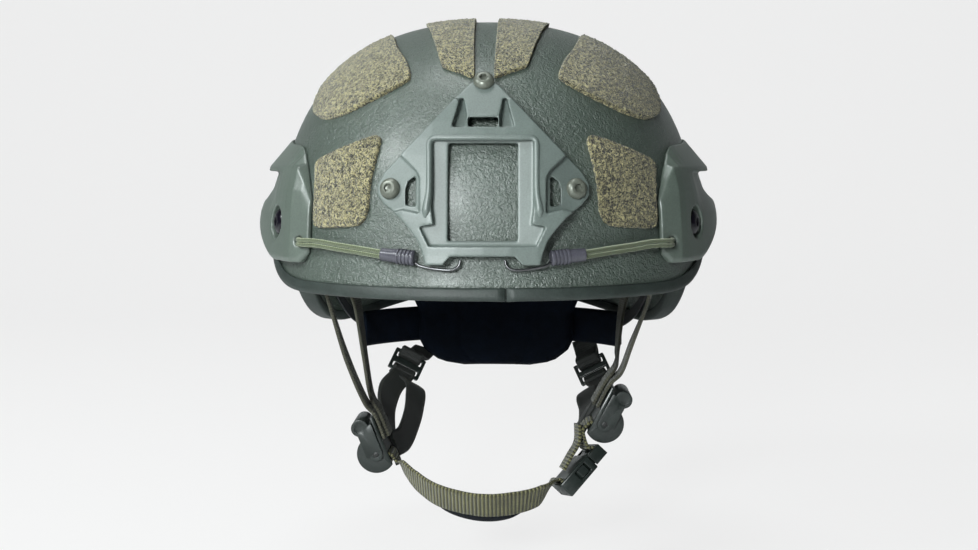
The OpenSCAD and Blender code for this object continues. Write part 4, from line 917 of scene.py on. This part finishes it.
# Nape band, nape pad and the dial's arms
NAPE_OFF, BAND_TOP, BAND_H, BAND_T, NAPE_T = -18, -30, 22, 4, 9
BAND_MID = BAND_TOP - BAND_H / 2
BAND_FROM, BAND_TO, BAND_CELLS = 133, 227, 120
PAD_TURN = 178.5
PAD_LOW, PAD_HIGH = -68, -14
NAPE_HALF = ((-68, 11), (-65, 19), (-57, 24.5), (-50, 26.5), (-34, 26), (-24, 28.5), (-14, 29))
CHANNEL_AT, CHANNEL_W, CHANNEL_DEEP = 0.24, 0.02, 0.9


def nape_half(z):
    return float(np.interp(z, *zip(*NAPE_HALF)))


def make_band():
    section = [(0, -0.42), (0.25, -0.5), (0.5, -0.42), (0.5, 0.42), (0.25, 0.5), (0, 0.42)]
    back = NAPE_OFF - BAND_T
    rings = []
    for k in range(BAND_CELLS + 1):
        t = mix(BAND_FROM, BAND_TO, k / BAND_CELLS)
        soft = 0.25 * noise.noise(Vector((k * 0.12, 7, 0)))
        rings.append([at_nape(t, BAND_MID + y * BAND_H, back + x * 2 * BAND_T + (soft if x > 0 else 0))
                      for x, y in section])
    band = sweep("nape_sling", rings, NAPE)
    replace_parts(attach(band, "helmet"), "nape_band")


def make_nape_pad():
    """The pad on the band, with a sewn channel at either side of its middle."""

    def place(u, v, deep):
        b = bulge(u, v)
        channel = CHANNEL_DEEP * math.exp(-(((abs(u - 0.5) - CHANNEL_AT) / CHANNEL_W) ** 2))
        z = mix(PAD_LOW, PAD_HIGH, v)
        off = -NAPE_T * (0.35 + 0.65 * b) + channel if deep else -0.2 - 1.4 * (1 - b)
        turn = PAD_TURN + (u - 0.5) * 2 * nape_half(z)
        return at_nape(turn, z + (0 if deep else 0.5), NAPE_OFF - BAND_T - GAP + off)

    made = rounded_pad("nape_cushion", place, NAPE, cols=60, rows=40)
    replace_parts(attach(made, "helmet"), "nape_pad")


TOOTH_PITCH, TEETH, TOOTH_H, MESH_GAP = 3.2, 10, 1.7, 0.1
RACK_LEN, RACK_BODY, RACK_T, HOUSING_WALL = 50, 3, 3, 1.6
RACK_MID = TEETH * TOOTH_PITCH / (2 * math.pi) + TOOTH_H / 2 + MESH_GAP + RACK_BODY / 2
RACK_END = -3 * TOOTH_PITCH + RACK_LEN + 2 * GAP
RACK_Y = at_nape(180, BAND_MID, NAPE_OFF)[1] + 0.4 + HOUSING_WALL + GAP + RACK_T / 2
ARM_W, ARM_T = 8, 1.6
ARM_SPOTS = ((146, -41), (138, -38), (130, -27), (121, -10))


def make_arms():
    for left, word in SIDES:
        s = 1 if left else -1
        points = [(s * RACK_END, RACK_Y, BAND_MID + s * RACK_MID), at_wall(s * 154, -41 + s * 1.5, -WALL - 3)]
        points += [at_wall(s * t, z, -WALL - 3.5) for t, z in ARM_SPOTS]
        points.append(at_wall(s * 112, 9, -WALL - ARM_T / 2 - 0.6))
        made = tape(f"dial_arm_{word}", points, [(0, 0, 1)] * len(points), ARM_W, ARM_T, DIAL)
        tuple(np.array(points[0]) * MM)
        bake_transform(made)
        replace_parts(made, f"arm_{word}")


# Harness: places of the adjusters and their parts, as in the part's source
LEFT_SPOT, LEFT_LEAN = (68, -10, -72.3), 28
RIGHT_SPOT, RIGHT_LEAN = (65, -10, -89.4), 22
CHEEK_HALF, PIN_Z = 11, -10
PLATE_X, PLATE_D, PLATE_TOP, PLATE_LOW = -5.1, 2, 10, PIN_Z - 8
SLOT_Z = PLATE_LOW + 2.5 + 4 / 2
STRAP_W, WEB_T, CHIN_W = 16, 1.6, 19
LUG_REACH, LUG_BAR, LUG_LOW = 7.2, 2.7, -24
LUG_Z = LUG_LOW + 2.5 + (STRAP_W + 1) / 2
LUG_TURN = WEB_T / 2 + GAP + 0.5
RAIL_FORE, RAIL_AFT = (53.5, 32), (126, 24)
TAB_LEN, TAB_T, TAB_SLOT, NUT_GAP, FLANGE_T = 20, 1.6, 3.4, 0.8, 1.2
TAB_DEEP = NUT_GAP + FLANGE_T + 0.1 + TAB_T
TAB_SLOT_Y = -TAB_LEN + 2.5 + TAB_SLOT / 2


def adj_point(left, x, y, z):
    """Point of an adjuster, as if on the left: x away from the face, y to the rear, z up its plate."""
    lean, spot = (LEFT_LEAN, LEFT_SPOT) if left else (RIGHT_LEAN, RIGHT_SPOT)
    return np.array(spot) + [x * cos(lean) + z * sin(lean), y, -x * sin(lean) + z * cos(lean)]


def from_tab(left, spot):
    """Start of a side strap in the slot of its anchor tab."""
    t = spot[0] if left else -spot[0]
    n = outward(t, spot[1])
    face = -wall_depth(t, spot[1]) - TAB_DEEP
    down = np.cross(n, across(t, spot[1]))
    return [at_level(t, spot[1], 0) + y * down + (face + z) * n
            for y, z in ((TAB_SLOT_Y, TAB_T / 2), (TAB_SLOT_Y - 1.4, -1.6), (TAB_SLOT_Y - 6, -2))]


def strap_end(left, layer, y):
    """End of a side strap behind the adjuster's plate, in layer 0 or 1."""
    x = PLATE_X - 0.5 - WEB_T / 2 - layer * (WEB_T + 0.5)
    return [adj_point(left, x + 2, y * 3, PLATE_TOP + 10), adj_point(left, x, y, PLATE_TOP),
            adj_point(left, x, y, -4)]


def side_wide(left, spot):
    """Directions across a side strap, from along the rim to fore and aft."""
    a = across(spot[0] if left else -spot[0], 0)
    a = a * math.copysign(1, a[1])
    y = np.array([0, 1.0, 0])
    return [a, a, a, mix(a, y, 0.7), mix(a, y, 0.95), y, y, y]


SIDE_MID = {("front", True): [(84, -58, -10), (77.5, -36, -35)],
            ("front", False): [(82, -60, -10), (75.5, -40, -42)],
            ("rear", True): [(81, 64, -22), (75, 30, -46.5)],
            ("rear", False): [(82.5, 66, -24), (73.5, 28, -51)]}


def make_side_straps():
    for which, spot, layer, y in (("front", RAIL_FORE, 0, -2.5), ("rear", RAIL_AFT, 1, 2.5)):
        for left, word in SIDES:
            hung = sided([*SIDE_MID[which, left], *strap_end(left, layer, y)], left)
            points = [*from_tab(left, spot), *hung]
            made = tape(f"{which}_webbing_{word}", points, side_wide(left, spot), STRAP_W, WEB_T, OLIVE,
                        steps=10, curl=0.25, frayed=0.02)
            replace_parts(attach(made, "helmet"), f"{which}_strap_{word}")


# Nape straps: a loop through the adjuster's lug and the slider, and a tie from the slider to the band
SLIDER_WIDE = unit([0.87, -0.09, 0.46])
SLIDER_BACK = unit(np.cross([-0.45, 0.45, 0.77], SLIDER_WIDE))
SLIDER_UP = np.cross(SLIDER_WIDE, SLIDER_BACK)
SLIDER_MID = {True: (64, 93, -69), False: (54.4, 93.6, -66)}
SLIDER_T, SLOT_MID = 3, 3.4
LOOP_GAP = SLIDER_T / 2 + WEB_T / 2 + 2 * GAP
OUTER = {True: [(61, 18, -83), (65, 36, -81), (68, 54, -78), (69.5, 72, -74.5)],
         False: [(58, 20, -94.5), (61.5, 38, -89.5), (63.8, 56, -84), (62.5, 73, -77)]}
INNER = {True: [(59.6, 74.8, -80), (59.5, 58, -84.5), (57.5, 40, -87), (53.6, 20, -86.2)],
         False: [(48.3, 76.4, -77.2), (47, 60, -85), (47.5, 40, -91.5), (50, 20, -98)]}
HEM = {True: (150.5, -51, NAPE_OFF + 2.3), False: (158, -57.5, NAPE_OFF - 1.8)}
NAPE_W, NAPE_STEPS, STITCH_INSET = STRAP_W - 1, 9, 1.6


def slider_point(left, y, z):
    return np.array(SLIDER_MID[left]) + y * SLIDER_BACK + z * SLIDER_UP


def round_bar(left, side):
    """Way of a strap through one slot of the slider and round its bar."""
    half = [(-LOOP_GAP - 0.9, 5.2), (-LOOP_GAP - 0.1, 2.3), (-0.72 * LOOP_GAP, 0.3)]
    shape = [*half, (0, -0.5), *((-a, b) for a, b in reversed(half))]
    return [slider_point(left, -side * a, side * (SLOT_MID + b)) for a, b in shape]


def lug_point(left, x, y):
    """Point beside the lug's bar, as if on the left."""
    return adj_point(left, x, CHEEK_HALF + LUG_REACH - LUG_BAR + y, LUG_Z)


def nape_loop(left):
    """Points of the loop and directions across it, as if on the left."""
    middle, out, back = PLATE_X + PLATE_D / 2, PLATE_X + PLATE_D + LUG_TURN, PLATE_X - LUG_TURN
    start = [lug_point(left, x, y) for x, y in ((middle + 0.2, -1.3), (out - 0.3, -1), (out, 1.6))]
    end = [lug_point(left, x, y) for x, y in ((back, 1.6), (back + 0.3, -1), (middle - 0.2, -1.3))]
    points = [*start, *OUTER[left], *round_bar(left, -1), *INNER[left], *end]
    lean = LEFT_LEAN if left else RIGHT_LEAN
    up_plate = np.array([sin(lean), 0, cos(lean)])
    turned = [0, 0, 0, 0.1, 0.3, 0.6, 0.9, *([1] * 7), 0.9, 0.6, 0.3, 0.1, 0, 0, 0]
    return points, [mix(up_plate, SLIDER_WIDE, k) for k in turned]


def nape_tie(left):
    """Points of the tie and directions across it, as if on the left."""
    turn, z, off = HEM[left]
    hem = at_nape(turn, z, off)
    hem_wide = np.array([-cos(turn), -sin(turn), 0.35])
    apart = np.array([sin(turn), -cos(turn), 0]) * (WEB_T + GAP) / 2
    near, back = mix(np.array(SLIDER_MID[left], float), hem, 0.6), SLIDER_BACK * 1.3
    points = [hem + apart, near + back, *round_bar(left, 1), near - back, hem - apart]
    return points, [hem_wide, *([SLIDER_WIDE] * 9), hem_wide]


def edge_rows(points, wide):
    """Two rows of stitch places along both edges of a nape strap, on both of its faces."""
    path, turned = smooth(points, NAPE_STEPS), refine(wide, NAPE_STEPS)
    frames = [frame_along(path, turned, i) for i in range(len(path))]
    rows = []
    for sign in (-1, 1):
        for up in (-1, 1):
            out, high = sign * (NAPE_W / 2 - STITCH_INSET), up * (WEB_T / 2 + 0.05)
            line = [p + side * out + face * high for p, (side, face) in zip(path, frames)]
            rows.append((line, [face * up for side, face in frames]))
    return rows


def make_nape_straps():
    for left, word in SIDES:
        for which, (points, wide) in (("loop", nape_loop(left)), ("tie", nape_tie(left))):
            points, wide = sided(points, left), sided(wide, left)
            made = tape(f"nape_{which}_{word}", points, wide, NAPE_W, WEB_T, BLACK, NAPE_STEPS, frayed=0.015)
            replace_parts(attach(made, "helmet"), f"nape_strap_{word}")
            if which == "loop":
                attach(stitches(f"nape_thread_{word}", edge_rows(points, wide)), "helmet")


# Chin strap, chin cup and short strap, with the buckle between them
BUCKLE_DIR = unit([-0.65, -0.28, -0.7])
BUCKLE_SIDE = unit(np.array([0, 1, 0]) - BUCKLE_DIR * BUCKLE_DIR[1])
BUCKLE_FACE = np.cross(BUCKLE_SIDE, BUCKLE_DIR)
BUCKLE_MID = np.array([53.4, -16.2, -104.8])
BUCKLE_T, SOCKET_LEN, SOCKET_LIP, PLUG_LEN, STRAP_SLOT = 9, 20, 2, 8.6, 2.6
PLUG_SLOT_Z = SOCKET_LIP + 0.5 + PLUG_LEN - 1.4 - STRAP_SLOT / 2
SOCKET_SLOT_Z = -SOCKET_LEN + 2 + STRAP_SLOT / 2
CUP_FROM, CUP_TO, CUP_HIGH, CUP_DROP, CUP_T = 23, 34, 20, 6.5, 4
CHIN_STEPS, CHIN_FRAY = 14, 0.012


def buckle_point(x, y, z):
    return BUCKLE_MID + x * BUCKLE_SIDE + y * BUCKLE_FACE - z * BUCKLE_DIR


def from_slot(left):
    """Way of a strap out of the slot at the foot of an adjuster's plate."""
    x = PLATE_X - WEB_T / 2 - GAP
    spots = ((PLATE_X + PLATE_D / 2, SLOT_Z + 0.8), (PLATE_X - 0.9, SLOT_Z - 0.2), (x - 0.4, SLOT_Z - 2.2),
             (x - 1, PLATE_LOW - 1.5))
    return sided([adj_point(left, out, 0, z) for out, z in spots], left)


def to_slot(z):
    """Way of a strap over the buckle's face and into its slot at z."""
    above = BUCKLE_T / 2 + WEB_T / 2 + 1
    return [buckle_point(0, above, z - 1.3), buckle_point(0, BUCKLE_T / 2 - 1, z), buckle_point(0, 0, z)]


CHIN_PATH = [*from_slot(False), (-47.1, -17, -107.2), (-39.4, -24, -113.5), (-26.1, -34, -119.3),
             (-5.1, -42, -122.1), (13.3, -42, -121.2), (28.5, -37, -118), *to_slot(SOCKET_SLOT_Z)]
CHIN_WIDE = [*[(0, -1, 0)] * 3, (0, -1, 0.1), (0, -0.75, 0.5), (0, -0.65, 0.7), *[(0, -0.62, 0.78)] * 3,
             (0.1, -0.66, 0.75), *[-BUCKLE_SIDE] * 3]
TAIL_PATH = [adj_point(True, PLATE_X - 5.6, 0, PLATE_LOW - 0.5), (49.5, -14, -93), (45, -19, -100.2),
             (41, -23, -106.5)]


def hung_strap(name, points, wide, w, bend):
    """Webbing in two meshes, split at point bend; the part up to it lies between the adjuster's slot and the
    chin loop.
    """
    path, turned = smooth(points, CHIN_STEPS), refine(wide, CHIN_STEPS)
    cut = bend * CHIN_STEPS
    root = tape(f"{name}_root", path[: cut + 1], turned[: cut + 1], w, WEB_T, RIBBED, 1, 0.0, CHIN_FRAY)
    loose = tape(name, path[cut:], turned[cut:], w, WEB_T, RIBBED, 1, 0.0, CHIN_FRAY)
    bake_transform(root)
    return root, loose


def make_chin_strap():
    root, loose = hung_strap("chin_webbing", CHIN_PATH, CHIN_WIDE, CHIN_W, 5)
    start = np.array(CHIN_PATH[8])
    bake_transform(loose)
    for part in (root, loose):
        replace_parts(part, "chin_strap")


def make_chin_cup():
    """Cup that lies along the chin strap, from step CUP_FROM to CUP_TO of its path."""
    fine = 4
    path, turned = smooth(CHIN_PATH, 4 * fine), refine(CHIN_WIDE, 4 * fine)

    def place(u, v, deep):
        x = mix(CUP_FROM, CUP_TO, u) * fine
        k = min(int(x), len(path) - 2)
        spot, wide = mix(path[k], path[k + 1], x - k), unit(mix(turned[k], turned[k + 1], x - k))
        face = unit(np.cross(wide, path[k + 1] - path[k]))
        b = bulge(u, v)
        off = CUP_T * (0.4 + 0.6 * b) if deep else 0.4 * (1 - b)
        high = CUP_HIGH * (1 - 0.6 * abs(2 * u - 1) ** 3)
        return spot + wide * (high * (v - 0.5) - CUP_DROP) + face * (WEB_T / 2 + GAP + off)

    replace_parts(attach(rounded_pad("chin_cushion", place, PAD, 44, 24, 0.5), "chin_loop"), "chin_cup")


def make_buckle_strap():
    """Short strap from the left adjuster to the plug, and its free tail."""
    lead = [*from_slot(True), *to_slot(PLUG_SLOT_Z)]
    lead_wide = [*[(0, 1, 0)] * 4, *[BUCKLE_SIDE] * 3]
    free_end = tape("webbing_tail", TAIL_PATH, [(-0.1, 0.97, -0.15)] * 4, CHIN_W - 1, WEB_T, RIBBED, 12)
    root, loose = hung_strap("plug_webbing", lead, lead_wide, CHIN_W - 1, 4)
    for part in (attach(free_end, "chin_loop"), root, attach(loose, "chin_loop")):
        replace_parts(part, "buckle_strap")


# Stage
lamp("key", (-1.15, -0.85, 0.95), size=0.5, power=18, colour=(0.94, 1, 1))
lamp("top", (-0.25, 0.0, 1.5), size=0.6, power=8, colour=(0.95, 1, 1))
lamp("front", (-0.42, -1.43, 0.42), size=0.4, power=21, colour=(0.94, 1, 1))
make_world()
make_floor()
scene.view_settings.view_transform = "Standard"

# Pieces made here
make_shell()
make_trim()
make_loops()
make_cords()
make_lip()
make_pads()
make_band()
make_nape_pad()
make_arms()
make_side_straps()
make_nape_straps()
make_chin_strap()
make_chin_cup()
make_buckle_strap()

# CAD nodes that stay
# The shroud wears the lighter copy of satin_polymer, whose extra lightness is painted light
moulded(dress("nvg_shroud", SATIN_PAINTED_LIGHT, 0), cell_mm=0.45, passes=5)
for word in ("left", "right"):
    moulded(dress(f"rail_{word}", SATIN, 0), cell_mm=0.7, passes=4)
    dress(f"ferrule_{word}", FERRULE, 0.12)
    dress(f"rack_{word}", DIAL, 0.15)
    dress(f"slider_{word}", GLOSS, 0.5)
    dress(f"adjuster_{word}", GLOSS, 0.4)
    dress(f"lever_{word}", GLOSS, 0.5)
for name, material, bevel_mm in (
    ("shroud_screws", BUTTON, 0.25), ("rail_screws", DOME, 0.3), ("flange_nuts", PLATED, 0.2),
    ("hook_squares", HOOK_TAPE, 0.3), ("anchor_tabs", TABS, 0.2), ("lever_pins", PINS, 0.2),
    ("dial_housing", DIAL, 0.6), ("dial_knob", DIAL, 0.4), ("dial_pinion", DIAL, 0.1),
    ("buckle_socket", GLOSS, 0.7), ("buckle_plug", GLOSS, 0.7),
    ("latch_front", GLOSS, 0.3), ("latch_back", GLOSS, 0.3),
):
    dress(name, material, bevel_mm)
